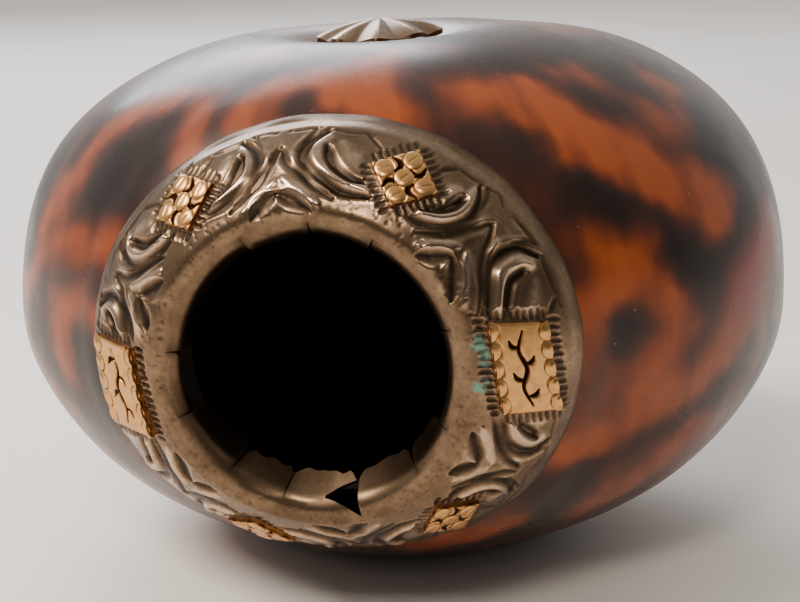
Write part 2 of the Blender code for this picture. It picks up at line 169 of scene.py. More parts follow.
def half_outline(angles, inset):
    """Plan radius and height of the gourd's even outline at angles from the waist."""
    above = angles > 0.0
    height = np.where(above, CROWN_HEIGHT, UNDERSIDE_DEPTH) - inset
    fullness = np.where(above, CROWN_FULLNESS, UNDERSIDE_FULLNESS)
    side = np.abs(np.cos(angles))
    rise = np.abs(np.sin(angles))
    reach = (side**fullness + rise**fullness) ** (-1.0 / fullness)
    return (GOURD_RADIUS - inset) * reach * side, np.sign(angles) * height * reach * rise


def skin_points(azimuth, latitude):
    """Points of the skin at angles from the mouth and above the waist, from the waist's middle."""
    radius, level = half_outline(np.asarray(latitude, float), 0.0)
    x = radius * np.sin(azimuth)
    y = -radius * np.cos(azimuth)
    return np.stack((x, y, grown(x, y, level)), axis=-1)


def place_object(name, data):
    """A new object in the scene, at the origin."""
    placed = bpy.data.objects.new(name, data)
    bpy.context.scene.collection.objects.link(placed)
    return placed


def new_piece(name, points, faces):
    """A smoothly shaded mesh object at the origin."""
    mesh = bpy.data.meshes.new(name)
    mesh.from_pydata(np.asarray(points).tolist(), [], faces)
    mesh.shade_smooth()
    return place_object(name, mesh)


def grid_faces(rows, columns, first=0):
    """Quads of a grid of points that closes on itself along its rows."""
    faces = []
    for row in range(rows - 1):
        for column in range(columns):
            after = (column + 1) % columns
            low = first + row * columns
            faces.append((low + column, low + columns + column, low + columns + after, low + after))
    return faces


def turned_gourd(name, inset, columns, rings, flat_rings):
    """A closed gourd form: an outline from crown to flat underside, softened, turned and grown."""
    floor = WAIST_HEIGHT - inset
    depth = UNDERSIDE_DEPTH - inset
    flat = (1.0 - (floor / depth) ** UNDERSIDE_FULLNESS) ** (1.0 / UNDERSIDE_FULLNESS)
    angles = np.linspace(pi / 2, np.arctan2(-floor / depth, flat), rings)
    radius, level = half_outline(angles, inset)
    inward = np.linspace(radius[-1], 0.0, flat_rings + 1)[1:]
    radius = np.concatenate((radius, inward))
    level = np.concatenate((level, np.full(flat_rings, -floor)))
    reach = 3 * rings // 45
    kernel = np.exp(-0.5 * (np.arange(-reach, reach + 1) / (reach / 3.0)) ** 2)
    kernel /= kernel.sum()
    around_poles = np.concatenate((-radius[reach:0:-1], radius, -radius[-2:-reach - 2:-1]))
    over_poles = np.concatenate((level[reach:0:-1], level, level[-2:-reach - 2:-1]))
    radius = np.convolve(around_poles, kernel, "valid")[1:-1]
    level = np.maximum(np.convolve(over_poles, kernel, "valid"), -floor)
    top, bottom = level[0], level[-1]
    level = level[1:-1]
    level = level + SCAR_DEPTH * np.exp(-((radius / SCAR_RADIUS) ** 4)) * (level < -0.9 * floor)
    turn = np.arange(columns) * 2.0 * pi / columns
    x = radius[:, None] * np.sin(turn)
    y = -radius[:, None] * np.cos(turn)
    z = grown(x, y, np.broadcast_to(level[:, None], x.shape))
    points = np.stack((x, y, z), axis=-1).reshape(-1, 3)
    rows = len(radius)
    poles = ((0.0, 0.0, float(grown(0.0, 0.0, top))), (0.0, 0.0, bottom + SCAR_DEPTH))
    points = np.concatenate((points, poles))
    faces = grid_faces(rows, columns)
    last = (rows - 1) * columns
    for column in range(columns):
        after = (column + 1) % columns
        faces.append((rows * columns, column, after))
        faces.append((rows * columns + 1, last + after, last + column))
    return new_piece(name, points, faces)


def bored(name, radius, start, end):
    """A plain round drill between two points."""
    bm = bmesh.new()
    axis = Vector(end) - Vector(start)
    place = Matrix.Translation((Vector(start) + Vector(end)) / 2)
    turn = axis.to_track_quat("Z", "Y").to_matrix().to_4x4()
    form = {"radius1": radius, "radius2": radius, "depth": axis.length, "matrix": place @ turn}
    bmesh.ops.create_cone(bm, cap_ends=True, segments=DRILL_SIDES, **form)
    mesh = bpy.data.meshes.new(name)
    bm.to_mesh(mesh)
    bm.free()
    return place_object(name, mesh)


def make_plain(piece):
    """Turn a piece and its modifiers into a plain mesh."""
    evaluated = piece.evaluated_get(bpy.context.evaluated_depsgraph_get())
    mesh = bpy.data.meshes.new_from_object(evaluated)
    piece.modifiers.clear()
    piece.data = mesh


def combine(piece, other, operation):
    """Cut another piece from this one, or join it on, and remove the other."""
    modifier = piece.modifiers.new(operation, "BOOLEAN")
    modifier.operation = operation
    modifier.solver = "EXACT"
    modifier.object = other
    make_plain(piece)
    bpy.data.objects.remove(other)


def mesh_points(piece):
    """Every point of a piece's mesh, as rows of X, Y and Z."""
    flat = np.empty(len(piece.data.vertices) * 3, np.float32)
    piece.data.vertices.foreach_get("co", flat)
    return flat.reshape(-1, 3).astype(float)


def move_points(piece, points):
    """Give every point of a piece's mesh a new place."""
    piece.data.vertices.foreach_set("co", np.asarray(points, np.float32).ravel())
    piece.data.update()


def mark(piece, name, values):
    """Store one number for each point, for the material to read."""
    attribute = piece.data.attributes.new(name, "FLOAT", "POINT")
    attribute.data.foreach_set("value", np.asarray(values, np.float32))


def smooth_path(controls, steps=8):
    """A smooth curve through control points."""
    controls = np.asarray(controls, float)
    lead_in = 2 * controls[:1] - controls[1:2]
    lead_out = 2 * controls[-1:] - controls[-2:-1]
    padded = np.concatenate((lead_in, controls, lead_out))
    path = []
    for before, start, end, after in zip(padded, padded[1:], padded[2:], padded[3:]):
        for t in np.arange(steps) / steps:
            bend = (2 * before - 5 * start + 4 * end - after) * t * t
            twist = (3 * start - before - 3 * end + after) * t * t * t
            path.append(0.5 * (2 * start + (end - before) * t + bend + twist))
    path.append(controls[-1])
    return np.array(path)


def path_distance(points, path):
    """Distance of points from a path, and how far along it (0 to 1) the nearest place is."""
    nearest = np.full(len(points), np.inf)
    along = np.zeros(len(points))
    for index in range(len(path) - 1):
        step = path[index + 1] - path[index]
        offset = points - path[index]
        share = np.clip(offset @ step / (step @ step), 0.0, 1.0)
        gap = np.linalg.norm(offset - share[:, None] * step, axis=1)
        closer = gap < nearest
        nearest[closer] = gap[closer]
        along[closer] = (index + share[closer]) / (len(path) - 1)
    return nearest, along


def ripple(points, wavelength, seed):
    """A smooth, seeded unevenness of about -1 to 1 that wanders over a wavelength."""
    draw = np.random.default_rng(seed)
    total = np.zeros(len(points))
    for _ in range(RIPPLE_WAVES):
        heading = draw.normal(size=3)
        heading *= 2.0 * pi / (np.linalg.norm(heading) * wavelength * draw.uniform(0.7, 1.5))
        total += np.sin(points @ heading + draw.uniform(0.0, 2.0 * pi))
    return total / RIPPLE_WAVES**0.5


def fade(values, start, end):
    """A smooth step from 0 at the start to 1 at the end."""
    share = np.clip((values - start) / (end - start), 0.0, 1.0)
    return share * share * (3.0 - 2.0 * share)


def degrees_path(controls):
    """A smooth path over the skin through points in degrees."""
    angles = np.radians(smooth_path(controls))
    return skin_points(angles[:, 0], angles[:, 1])


def scorched_and_shaded(points):
    """How dark the hot iron left each point of the skin, with painted shade across the underside."""
    wander = np.stack([ripple(points, 16.0 * MM, seed) for seed in (21, 22, 23)], axis=-1)
    fine = np.stack([ripple(points, 5.0 * MM, seed) for seed in (24, 25, 26)], axis=-1)
    placed = points + 1.0 * MM * wander + 0.4 * MM * fine
    strokes = list(FLAMES_AND_UNDERSIDE_SHADE + CROWN_FLAMES)
    strokes += [(-spared, width, path) for spared, width, path in SPARED]
    for dark, width, path in list(strokes):
        behind = [(180 - azimuth * 1.06, latitude * 0.94 - 3) for azimuth, latitude in path]
        strokes.append((dark, width, behind))
    turn = np.radians(np.linspace(0, 300, 15))
    for azimuth, latitude, size in BACK_RINGS:
        ring = np.stack((azimuth + size * np.cos(turn), latitude + size * np.sin(turn)), axis=-1)
        strokes.append((0.7, 2.4, ring))
        strokes.append((0.8, 2.2, ((azimuth, latitude - 1), (azimuth, latitude + 1))))
    scorch = GROUND_SCORCH + 0.1 * ripple(points, 22.0 * MM, 27)
    for dark, width, controls in strokes:
        path = degrees_path(controls)
        low = path.min(axis=0) - FLAME_REACH
        high = path.max(axis=0) + FLAME_REACH
        close = np.where(np.all((placed > low) & (placed < high), axis=1))[0]
        if len(close):
            gap = path_distance(placed[close], path)[0] - width * MM
            stroke = abs(dark) * fade(-gap, -FLAME_SOFTNESS, FLAME_SOFTNESS * 0.7)
            aim = 1.0 if dark > 0.0 else 0.0
            scorch[close] += (aim - scorch[close]) * stroke
    return np.clip(scorch, 0.0, 1.0)


def linear(code):
    """Linear colour from an sRGB hex value."""
    parts = [int(code[index:index + 2], 16) / 255.0 for index in (1, 3, 5)]
    return (*[part / 12.92 if part <= 0.04045 else ((part + 0.055) / 1.055) ** 2.4 for part in parts], 1.0)


def add_node(tree, kind, inputs=(), stops=(), out=None, **settings):
    """Add a node, with inputs by name or in order, as values or sockets, and give one of its outputs."""
    node = tree.nodes.new(kind if "Node" in kind else "ShaderNode" + kind)
    for name, value in settings.items():
        setattr(node, name, value)
    named = inputs if isinstance(inputs, dict) else dict(enumerate(inputs))
    for name, value in named.items():
        if isinstance(value, (list, bpy.types.NodeSocket)):
            for socket in value if isinstance(value, list) else [value]:
                tree.links.new(socket, node.inputs[name])
        else:
            node.inputs[name].default_value = value
    for index, (place, code) in enumerate(stops):
        if index > 1:
            node.color_ramp.elements.new(place)
        node.color_ramp.elements[index].position = place
        node.color_ramp.elements[index].color = linear(code)
    if out:
        return node.outputs[out]
    return next((socket for socket in node.outputs if socket.enabled), None)


def dress(piece, node):
    """Hang a piece on the root body and hide the imported solid it stands for."""
    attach(piece, "root")
    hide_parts(node)


def new_material(name):
    """A node material with nothing in it yet but the place on the object."""
    material = bpy.data.materials.new(name)
    material.use_nodes = True
    material.node_tree.nodes.clear()
    return material, material.node_tree, add_node(material.node_tree, "TexCoord", out="Object")


hollow = turned_gourd("hollow", WALL, HOLLOW_COLUMNS, HOLLOW_RINGS, HOLLOW_FLAT_RINGS)
mouth_axis = (MOUTH_X, 0.0, MOUTH_RISE)
mouth_front = (MOUTH_X, -GOURD_RADIUS - 10 * MM, MOUTH_RISE)
combine(hollow, bored("mouth", MOUTH_RADIUS, mouth_front, mouth_axis), "UNION")
stem_top = (STEM_X, STEM_Y, CROWN_HEIGHT + 5 * MM)
combine(hollow, bored("stem_hole", STEM_HOLE_RADIUS, (STEM_X, STEM_Y, 0.0), stem_top), "UNION")
gourd = turned_gourd("gourd", 0.0, SKIN_COLUMNS, SKIN_RINGS, FLAT_RINGS)
combine(gourd, hollow, "DIFFERENCE")
gourd_points = mesh_points(gourd)
plan = np.hypot(gourd_points[:, 0], gourd_points[:, 1])
upper = gourd_points[:, 2] > 0.0
lean = crown_lean(gourd_points[:, 0], gourd_points[:, 1])
from_stem = np.hypot(gourd_points[:, 0] - STEM_X, gourd_points[:, 1] - STEM_Y)
dip = DIMPLE_DEPTH * np.exp(-(from_stem / DIMPLE_RADIUS) ** 2)
level = np.where(upper, (gourd_points[:, 2] + dip) / (1.0 + lean), gourd_points[:, 2])
fullness = np.where(upper, CROWN_FULLNESS, UNDERSIDE_FULLNESS)
height = np.where(upper, CROWN_HEIGHT, UNDERSIDE_DEPTH)
outwards = (plan / GOURD_RADIUS) ** fullness + np.abs(level / height) ** fullness
resting = fade(-gourd_points[:, 2], WAIST_HEIGHT - 1.2 * MM, WAIST_HEIGHT - 0.6 * MM)
from_mouth = np.hypot(gourd_points[:, 0] - MOUTH_X, gourd_points[:, 2] - MOUTH_RISE)
under_collar = (from_mouth < UNDER_COLLAR) & (gourd_points[:, 1] < 0.0)
inside = np.maximum(fade(-outwards, -0.965, -0.925) * (1.0 - resting), under_collar)
inside = np.where(upper & (from_stem < STEM_HOLE_RADIUS + 0.3 * MM), 1.0, inside)
free = 1.0 - (gourd_points[:, 1] < 0.0) * fade(-from_mouth, -38 * MM, -34 * MM)
dips = UNEVENNESS * (ripple(gourd_points, 34 * MM, 31) - 1.2) * free * (1.0 - inside) * (1.0 - resting)
from_middle = gourd_points / np.linalg.norm(gourd_points, axis=1)[:, None]
mark(gourd, "inside", inside)
azimuth = np.arctan2(gourd_points[:, 0], -gourd_points[:, 1])
latitude = np.arctan2(gourd_points[:, 2], plan)
round_skin = np.stack((np.sin(azimuth), np.cos(azimuth), 0.2 * latitude), axis=-1) * GOURD_RADIUS
mark(gourd, "streak", ripple(round_skin, 7.0 * MM, 28) + 0.8 * ripple(round_skin, 3.2 * MM, 29))
# Scorch marks together with the painted shade under the front, kept off the inside
mark(gourd, "scorch", scorched_and_shaded(gourd_points) * (1.0 - inside))
blush_gap = path_distance(gourd_points, degrees_path(BLUSH))[0]
mark(gourd, "blush", fade(-blush_gap, -8 * MM, -1 * MM) * (1.0 - inside))
move_points(gourd, gourd_points + from_middle * np.minimum(dips, 0.0)[:, None] + WAIST)

# Polished gourd rind: a thin woody skin under old grease, so a broad soft gloss over a ground that
# runs from orange through brown to near black where it was scorched, and in the painted shade under
# the front, with pale pinpricks and hairlines
gourd_rind, tree, place = new_material("polished_scorched_gourd")
# The burn level read here holds the painted shade under the front as well as the scorch marks
scorch, within, blush, streak = (
    add_node(tree, "Attribute", attribute_name=name, out="Fac")
    for name in ("scorch", "inside", "blush", "streak")
)
mottle = add_node(
    tree, "TexNoise", {"Vector": place, "Scale": 1 / (7 * MM), "Detail": 6.0, "Roughness": 0.62}
)
cloud = add_node(
    tree, "TexNoise", {"Vector": place, "Scale": 1 / (26 * MM), "Detail": 3.0, "Roughness": 0.5}
)
uneven = add_node(tree, "MapRange", (mottle, 0.3, 0.7, -0.1, 0.1))
drift = add_node(tree, "MapRange", (cloud, 0.35, 0.65, -0.06, 0.08))
brushed = add_node(tree, "Math", (streak, 0.055, scorch), operation="MULTIPLY_ADD")
burn_and_shade = add_node(tree, "Math", (brushed, uneven), operation="ADD")
burn_and_shade = add_node(tree, "Math", (burn_and_shade, drift), operation="ADD")
rind = add_node(
    tree, "ValToRGB", {"Fac": burn_and_shade},
    stops=((0.0, "#8a4119"), (0.18, "#713213"), (0.4, "#4f2310"), (0.66, "#30180f"), (1.0, "#1a0f0c")),
)
reddened = add_node(tree, "Mix", {"Factor": blush, 6: rind, 7: linear("#6e1f16")}, data_type="RGBA")
pricks = add_node(tree, "TexVoronoi", {"Vector": place, "Scale": 1 / (2.6 * MM), "Randomness": 1.0})
prick = add_node(tree, "MapRange", (pricks, 0.03, 0.075, 0.55, 0.0))
sparse = add_node(tree, "TexNoise", {"Vector": place, "Scale": 1 / (9 * MM), "Detail": 2.0})
sparse = add_node(tree, "MapRange", (sparse, 0.52, 0.62, 0.0, 1.0))
prick = add_node(tree, "Math", (prick, sparse), operation="MULTIPLY")
speckled = add_node(tree, "Mix", {"Factor": prick, 6: reddened, 7: linear("#a57a55")}, data_type="RGBA")
coloured = add_node(tree, "Mix", {"Factor": within, 6: speckled, 7: linear("#1c120c")}, data_type="RGBA")
gloss = add_node(tree, "MapRange", (mottle, 0.3, 0.7, 0.24, 0.36))
gloss = add_node(tree, "Mix", {"Factor": within, "A": gloss, "B": 0.85})
scratch_place = add_node(
    tree, "Mapping", {"Vector": place, "Rotation": (0.4, 0.9, 0.3), "Scale": (1.0, 0.06, 1.0)}
)
hairlines = add_node(tree, "TexNoise", {"Vector": scratch_place, "Scale": 1 / (0.7 * MM), "Detail": 2.0})
grain = add_node(
    tree, "TexNoise", {"Vector": place, "Scale": 1 / (1.6 * MM), "Detail": 4.0, "Roughness": 0.6}
)
relief = add_node(tree, "Mix", {"Factor": 0.3, "A": grain, "B": hairlines})
bump = add_node(tree, "Bump", {"Height": relief, "Strength": 0.35, "Distance": 0.06 * MM})
shader = add_node(
    tree, "BsdfPrincipled",
    {
        "Base Color": coloured,
        "Roughness": gloss,
        "IOR": 1.37,
        "Normal": bump,
        "Coat Weight": 0.06,
        "Coat Roughness": 0.2,
    },
)
add_node(tree, "OutputMaterial", {"Surface": shader})
gourd.data.materials.clear()
gourd.data.materials.append(gourd_rind)
dress(gourd, "gourd_shell")

# Mouth collar
# One sheet of nickel silver, raised over the gourd's edge, rolled at the lip and turned in as a
# sleeve that is slit into tabs. Palmettes and scrolls are chased into it between the plaques.
COLLAR_RADIUS = 32.4 * MM
COLLAR_OVAL = 1.3 * MM
COLLAR_OVAL_TURN = radians(8)
COLLAR_RAISE = 0.4 * MM
SHEET = 0.8 * MM
CLEARANCE = 0.3 * MM
LIP_RADIUS = 20.6 * MM
LIP_ROLL = 2.8 * MM
LIP_STAND = 4.2 * MM
ROLL_END = radians(60)
BAND_FLATNESS = 0.25
THIN_SHEET = 0.5 * MM
EDGE_TURN = 1.4 * MM
EDGE_DROP = 0.55 * MM
BORE_RADIUS = LIP_RADIUS - LIP_ROLL
BAND_START = LIP_RADIUS + LIP_ROLL * cos(ROLL_END)
COLLAR_COLUMNS = 900
BAND_ROWS = 56
RING_ROWS = 8
TAB_ROWS = 13
BACK_ROWS = 4
SLIT_RUN = 1.1 * MM
EDGE_WOBBLE = 0.07 * MM
SHEET_UNEVENNESS = 0.05 * MM
SHEET_CREASE = radians(50)
# Tabs round the mouth: the angle of the slit before each, how far from the crest of the lip it ends,
# how far that end bends in, both in millimetres, how much it leans to one side, and the angle at
# which it stops rolling over and runs on straight
TABS = (
    (-158, 7.5, 0.8, 0.3, 168),
    (-129, 6.6, 0.3, -0.2, 150),
    (-105, 6.3, 0.4, -0.3, 145),
    (-74, 6.6, 0.3, 0.2, 148),
    (-44, 6.8, 0.3, -0.3, 158),
    (-22, 5.6, 0.3, 0.0, 180),
    (18, 4.4, 0.2, 0.2, 180),
    (64, 4.6, 0.5, -0.3, 180),
    (90, 5.2, 0.9, 0.3, 180),
    (118, 8.0, 0.5, -0.3, 180),
    (175, 3.7, 0.0, 0.0, 180),
)
SLIT_GAP = 0.45 * MM
# Torn corner of one tab: angle, and how far from the crest its two sides lie, in millimetres
TEAR = ((-88.0, 2.3, 2.6), (-83.5, 1.8, 3.7), (-79.5, 1.0, 4.3), (-76.5, 0.2, 4.6), (-74.0, -0.6, 4.7))
TEAR_LEAD = 8.0

# Chasing of half a palmette, to one side of its axis: a path in degrees from the axis and in
# millimetres from the mouth's axis, half widths at its start, middle and end, its depth and how dark
# old polish has stained it
HALF_PALMETTE = (
    (((0.8, 23.3), (3.6, 22.5), (6.8, 21.6), (9.8, 20.9)), (0.3, 0.85, 0.25), 0.42, 0.5),
    (((0.6, 28.4), (2.2, 26.9), (5.6, 25.2), (10.2, 23.9), (16.5, 22.7)), (0.3, 0.6, 0.25), 0.34, 0.5),
    (
        ((10.5, 30.0), (7.0, 28.8), (6.0, 27.2), (7.5, 25.6), (11.5, 24.5), (18.0, 23.7), (26.5, 23.8)),
        (0.35, 0.85, 0.3),
        0.42,
        0.55,
    ),
    (
        ((11.0, 29.2), (9.2, 27.8), (9.9, 26.4), (13.6, 25.3), (20.0, 24.4), (26.0, 24.5)),
        (0.6, 0.95, 0.5),
        -0.36,
        0.0,
    ),
    (((11.4, 28.2), (12.6, 27.0), (15.2, 26.0), (19.6, 25.3), (24.3, 25.0)), (0.5, 0.65, 0.22), 0.46, 0.65),
    (((15.0, 28.6), (18.0, 27.6), (22.0, 26.8)), (0.7, 1.3, 0.7), -0.24, 0.0),
    (((1.2, 24.7), (6.0, 23.2), (12.5, 21.8)), (0.4, 0.75, 0.35), -0.26, 0.0),
    (((3.4, 27.6), (5.0, 26.3), (9.0, 24.8), (15.0, 23.6)), (0.35, 0.6, 0.25), -0.2, 0.0),
    (((1.5, 30.2), (5.0, 30.35), (9.0, 30.3)), (0.14, 0.22, 0.12), 0.15, 0.4),
    (((10.5, 30.25), (15.0, 29.95), (21.5, 30.2)), (0.14, 0.22, 0.12), 0.15, 0.4),
    (((19.5, 30.0), (22.0, 29.3), (24.5, 28.6)), (0.18, 0.32, 0.14), 0.2, 0.5),
    (((8.0, 30.3), (6.6, 29.6), (5.2, 28.7)), (0.22, 0.3, 0.1), 0.2, 0.4),
)
CHASING_FOOT = 20.3 * MM
CHASING_EDGE = 31.7 * MM
HALF_REACH = 31.5
# Palmettes: axis in degrees, reach to the plaque before and after it, and how far the chaser set
# its foot outwards, in millimetres
PALMETTES = (
    (39.5, 37.5, 25.5, 0.2),
    (100.3, 35.3, 30.7, 0.0),
    (160.0, 29.0, 29.0, 1.6),
    (225.0, 36.0, 23.0, 2.0),
    (277.0, 29.0, 31.0, 1.9),
    (330.5, 22.5, 31.5, 1.7),
)
PLAQUE_RADIUS = (BAND_START + COLLAR_RADIUS) / 2 - 0.2 * MM
LONG_PLAQUES = {
    "long_plaque_right": (radians(1.3), radians(-9)),
    "long_plaque_left": (radians(189), radians(-4)),
}
LONG_LENGTH = 12.2 * MM
LONG_WIDTH = 8.7 * MM
LONG_SLANT = tan(radians(-14.5))
FLOWER_PLAQUES = {
    "flower_plaque_upper_right": (radians(64.4), radians(41)),
    "flower_plaque_upper_left": (radians(130), radians(55)),
    "flower_plaque_lower_left": (radians(248.5), radians(38)),
    "flower_plaque_lower_right": (radians(308), radians(55)),
}
FLOWER_SIDE = 6.7 * MM
HATCH_PITCH = 0.95 * MM
PIT_COUNT = 300
FLAT_TARNISH = 0.3
GROOVE_TARNISH = 0.46
TARNISH_RISE = 0.85 * MM
BACK_TARNISH = 0.6
LIP_TARNISH = 0.06
TAB_TARNISH = 0.34
# Spots of verdigris by one plaque, as degrees round the mouth and millimetres from its axis
VERDIGRIS = ((11.0, 22.4), (6.0, 22.9), (-3.0, 22.3))
VERDIGRIS_SPREAD = 1.7 * MM


def skin_front(rho, psi):
    """Y of the gourd's skin at a radius and an angle round the mouth's axis."""
    x = MOUTH_X + rho * np.cos(psi)
    z = MOUTH_RISE + rho * np.sin(psi)
    y = np.full(np.shape(x), -GOURD_RADIUS)
    for _ in range(12):
        level = np.where(z > 0.0, z / (1.0 + crown_lean(x, y)), z)
        height = np.where(level < 0.0, UNDERSIDE_DEPTH, CROWN_HEIGHT)
        fullness = np.where(level < 0.0, UNDERSIDE_FULLNESS, CROWN_FULLNESS)
        rest = np.maximum(1.0 - np.abs(level / height) ** fullness, 0.0)
        radius = GOURD_RADIUS * rest ** (1.0 / fullness)
        y = -np.sqrt(np.maximum(radius * radius - x * x, 0.0))
    return y


def collar_edge(psi):
    """Radius of the collar's outer edge, a hand-cut oval."""
    oval = COLLAR_OVAL * np.cos(2.0 * (psi - COLLAR_OVAL_TURN))
    return COLLAR_RADIUS + oval + COLLAR_RAISE * np.sin(psi)


def roll_level(psi):
    """Y of the middle of the lip's roll, which follows the gourd's cut edge."""
    return skin_front(MOUTH_RADIUS, psi) - (LIP_STAND - LIP_ROLL)


def facing(surface, rho, psi):
    """Outward unit normals of a surface that gives Y over the mouth's plane."""
    step = 3e-6
    turn = step / rho
    outward = (surface(rho + step, psi) - surface(rho - step, psi)) / (2.0 * step)
    around = (surface(rho, psi + turn) - surface(rho, psi - turn)) / (2.0 * step)
    slope_x = outward * np.cos(psi) - around * np.sin(psi)
    slope_z = outward * np.sin(psi) + around * np.cos(psi)
    length = np.sqrt(slope_x**2 + 1.0 + slope_z**2)
    return np.stack((slope_x / length, -1.0 / length, slope_z / length), axis=-1)


def collar_front(rho, psi):
    """Y of the collar's show side before chasing, from the crest of the lip to its edge."""
    level = roll_level(psi)
    lip = level - np.sqrt(np.maximum(LIP_ROLL**2 - (rho - LIP_RADIUS) ** 2, 0.0))
    edge = collar_edge(psi)
    share = (edge - rho) / (edge - BAND_START)
    edge_stand = (CLEARANCE + SHEET) / -facing(skin_front, edge, psi)[..., 1]
    lip_stand = skin_front(BAND_START + 0.0 * psi, psi) - (level - LIP_ROLL * sin(ROLL_END))
    dome = (2.0 - BAND_FLATNESS) * share - (1.0 - BAND_FLATNESS) * share * share
    band = skin_front(rho, psi) - edge_stand - (lip_stand - edge_stand) * dome
    return np.where(rho < BAND_START, lip, band)


def over_mouth(rho, psi, y):
    """Points from a radius and an angle round the mouth's axis, and a Y."""
    return np.stack((MOUTH_X + rho * np.cos(psi), y, MOUTH_RISE + rho * np.sin(psi)), axis=-1)


def on_collar(psi, turn, along, across):
    """Points and normals of the collar under points of a plaque's own plane."""
    tangent = along * cos(turn) - across * sin(turn)
    outward = along * sin(turn) + across * cos(turn)
    normal = facing(collar_front, PLAQUE_RADIUS, psi)
    slope = np.hypot(normal[0], normal[2]) / -normal[1]
    radial = PLAQUE_RADIUS + outward / np.sqrt(1.0 + slope * slope)
    rho = np.hypot(radial, tangent)
    angle = psi + np.arctan2(tangent, radial)
    return over_mouth(rho, angle, collar_front(rho, angle)), facing(collar_front, rho, angle)


columns = np.arange(COLLAR_COLUMNS)
column_turn = columns * 2.0 * pi / COLLAR_COLUMNS
edge_wobble = EDGE_WOBBLE * (np.sin(7 * column_turn + 1.0) + 0.6 * np.sin(19 * column_turn))
shares = np.linspace(0.0, 1.0, BAND_ROWS + 1)[:, None]
turn_grid = np.broadcast_to(column_turn, (BAND_ROWS + 1, COLLAR_COLUMNS))
edge_line = collar_edge(column_turn) + edge_wobble
band_rho = edge_line + (BAND_START - edge_line) * shares
from_edge = np.maximum(collar_edge(turn_grid) - band_rho, 0.0)
turned_down = EDGE_DROP * (1.0 - fade(from_edge, 0.0, EDGE_TURN))
band_y = collar_front(np.minimum(band_rho, collar_edge(turn_grid)), turn_grid)
band_base = over_mouth(band_rho, turn_grid, band_y)
band_base -= facing(skin_front, band_rho, turn_grid) * turned_down[..., None]


def fold_points(run, psi, inset, stop=pi):
    """Points of the lip and the sleeve, by how far the sheet has run inwards from the lip's crest."""
    turn = np.clip(pi / 2 + run / LIP_ROLL, ROLL_END, stop)
    past = np.maximum(run - LIP_ROLL * (stop - pi / 2), 0.0)
    rho = LIP_RADIUS + (LIP_ROLL - inset) * np.cos(turn) - past * sin(stop)
    return over_mouth(rho, psi, roll_level(psi) - (LIP_ROLL - inset) * np.sin(turn) - past * cos(stop))


column_degrees = (columns * 360.0 / COLLAR_COLUMNS + 180.0) % 360.0 - 180.0
tear_angles, tear_upper, tear_lower = np.array(TEAR).T
torn = (column_degrees >= tear_angles[0] - 1e-6) & (column_degrees <= tear_angles[-1] + 1e-6)
lead = np.clip((column_degrees - tear_angles[0] + TEAR_LEAD) / TEAR_LEAD, 0.0, 1.0)
lead = lead * (column_degrees < tear_angles[0])
ring_end = SLIT_RUN + lead * (tear_upper[0] * MM - SLIT_RUN)
ring_end = np.where(torn, np.interp(column_degrees, tear_angles, tear_upper) * MM, ring_end)
ring_start = -LIP_ROLL * (pi / 2 - ROLL_END)
ring_shares = np.linspace(0.0, 1.0, RING_ROWS + 1)[1:, None]
ring_run = ring_start + (ring_end - ring_start) * ring_shares
ring_grid = np.broadcast_to(column_turn, ring_run.shape)
roll_base = fold_points(ring_run, ring_grid, 0.0)
show = np.concatenate((band_base, roll_base))
SHOW_ROWS = len(show)
around = np.roll(show, -1, axis=1) - np.roll(show, 1, axis=1)
inward = np.gradient(show, axis=0)
show_normal = np.cross(around, inward)
show_normal /= np.linalg.norm(show_normal, axis=-1)[..., None]
chased = np.zeros(show.shape[:2])
tarnish = np.zeros(show.shape[:2])


def near_columns(path, margin):
    """Columns of the collar that a path passes."""
    angles = np.unwrap(np.arctan2(path[:, 2] - MOUTH_RISE, path[:, 0] - MOUTH_X))
    low = int((angles.min() - margin) * COLLAR_COLUMNS / (2.0 * pi))
    high = int((angles.max() + margin) * COLLAR_COLUMNS / (2.0 * pi)) + 1
    return np.arange(low, high + 1) % COLLAR_COLUMNS


def press(path, half_widths, depth, stain, squareness=2.0):
    """Press a groove along a path into the sheet, or raise a rib where the depth is negative."""
    picked = near_columns(path, 0.14)
    points = show[:, picked].reshape(-1, 3)
    gap, along = path_distance(points, path)
    start, middle, end = half_widths
    width = MM * (start + (4 * middle - 3 * start - end) * along + 2 * (start + end - 2 * middle) * along**2)
    away = gap / width
    groove = np.exp(-0.9 * away**squareness)
    burr = np.exp(-3.0 * (away - 1.8) ** 2)
    shape = (len(show), len(picked))
    pressed = depth * MM * (groove - 0.22 * burr if depth > 0.0 else groove)
    chased[:, picked] -= pressed.reshape(shape)
    darkened = stain * np.exp(-1.2 * away**squareness)
    tarnish[:, picked] = np.maximum(tarnish[:, picked], darkened.reshape(shape))


chaser = np.random.default_rng(41)
for axis, before, after, foot in PALMETTES:
    for side, reach in ((-1, before), (1, after)):
        for controls, half_widths, depth, stain in HALF_PALMETTE:
            path = smooth_path(np.array(controls) + chaser.normal(size=(len(controls), 2)) * (0.25, 0.08))
            psi = np.radians(axis + side * path[:, 0] * reach / HALF_REACH)
            low = CHASING_FOOT + foot * MM
            rise = (path[:, 1] * MM - CHASING_FOOT) * (collar_edge(psi) - low)
            rho = low + rise / (CHASING_EDGE - CHASING_FOOT)
            path = over_mouth(rho, psi, collar_front(rho, psi))
            press(path, half_widths, depth * chaser.uniform(0.85, 1.1), stain)


def plaque_rim(half_length, half_width, away):
    """Places at an even pitch round a plaque, and the direction out from it at each."""
    rim = []
    for side in (-1, 1):
        for place in np.arange(-half_length, half_length + away, HATCH_PITCH):
            rim.append(((place, side * (half_width + away)), (0.0, side)))
        for place in np.arange(-half_width + HATCH_PITCH, half_width, HATCH_PITCH):
            rim.append(((side * (half_length + away), place), (side, 0.0)))
    return rim


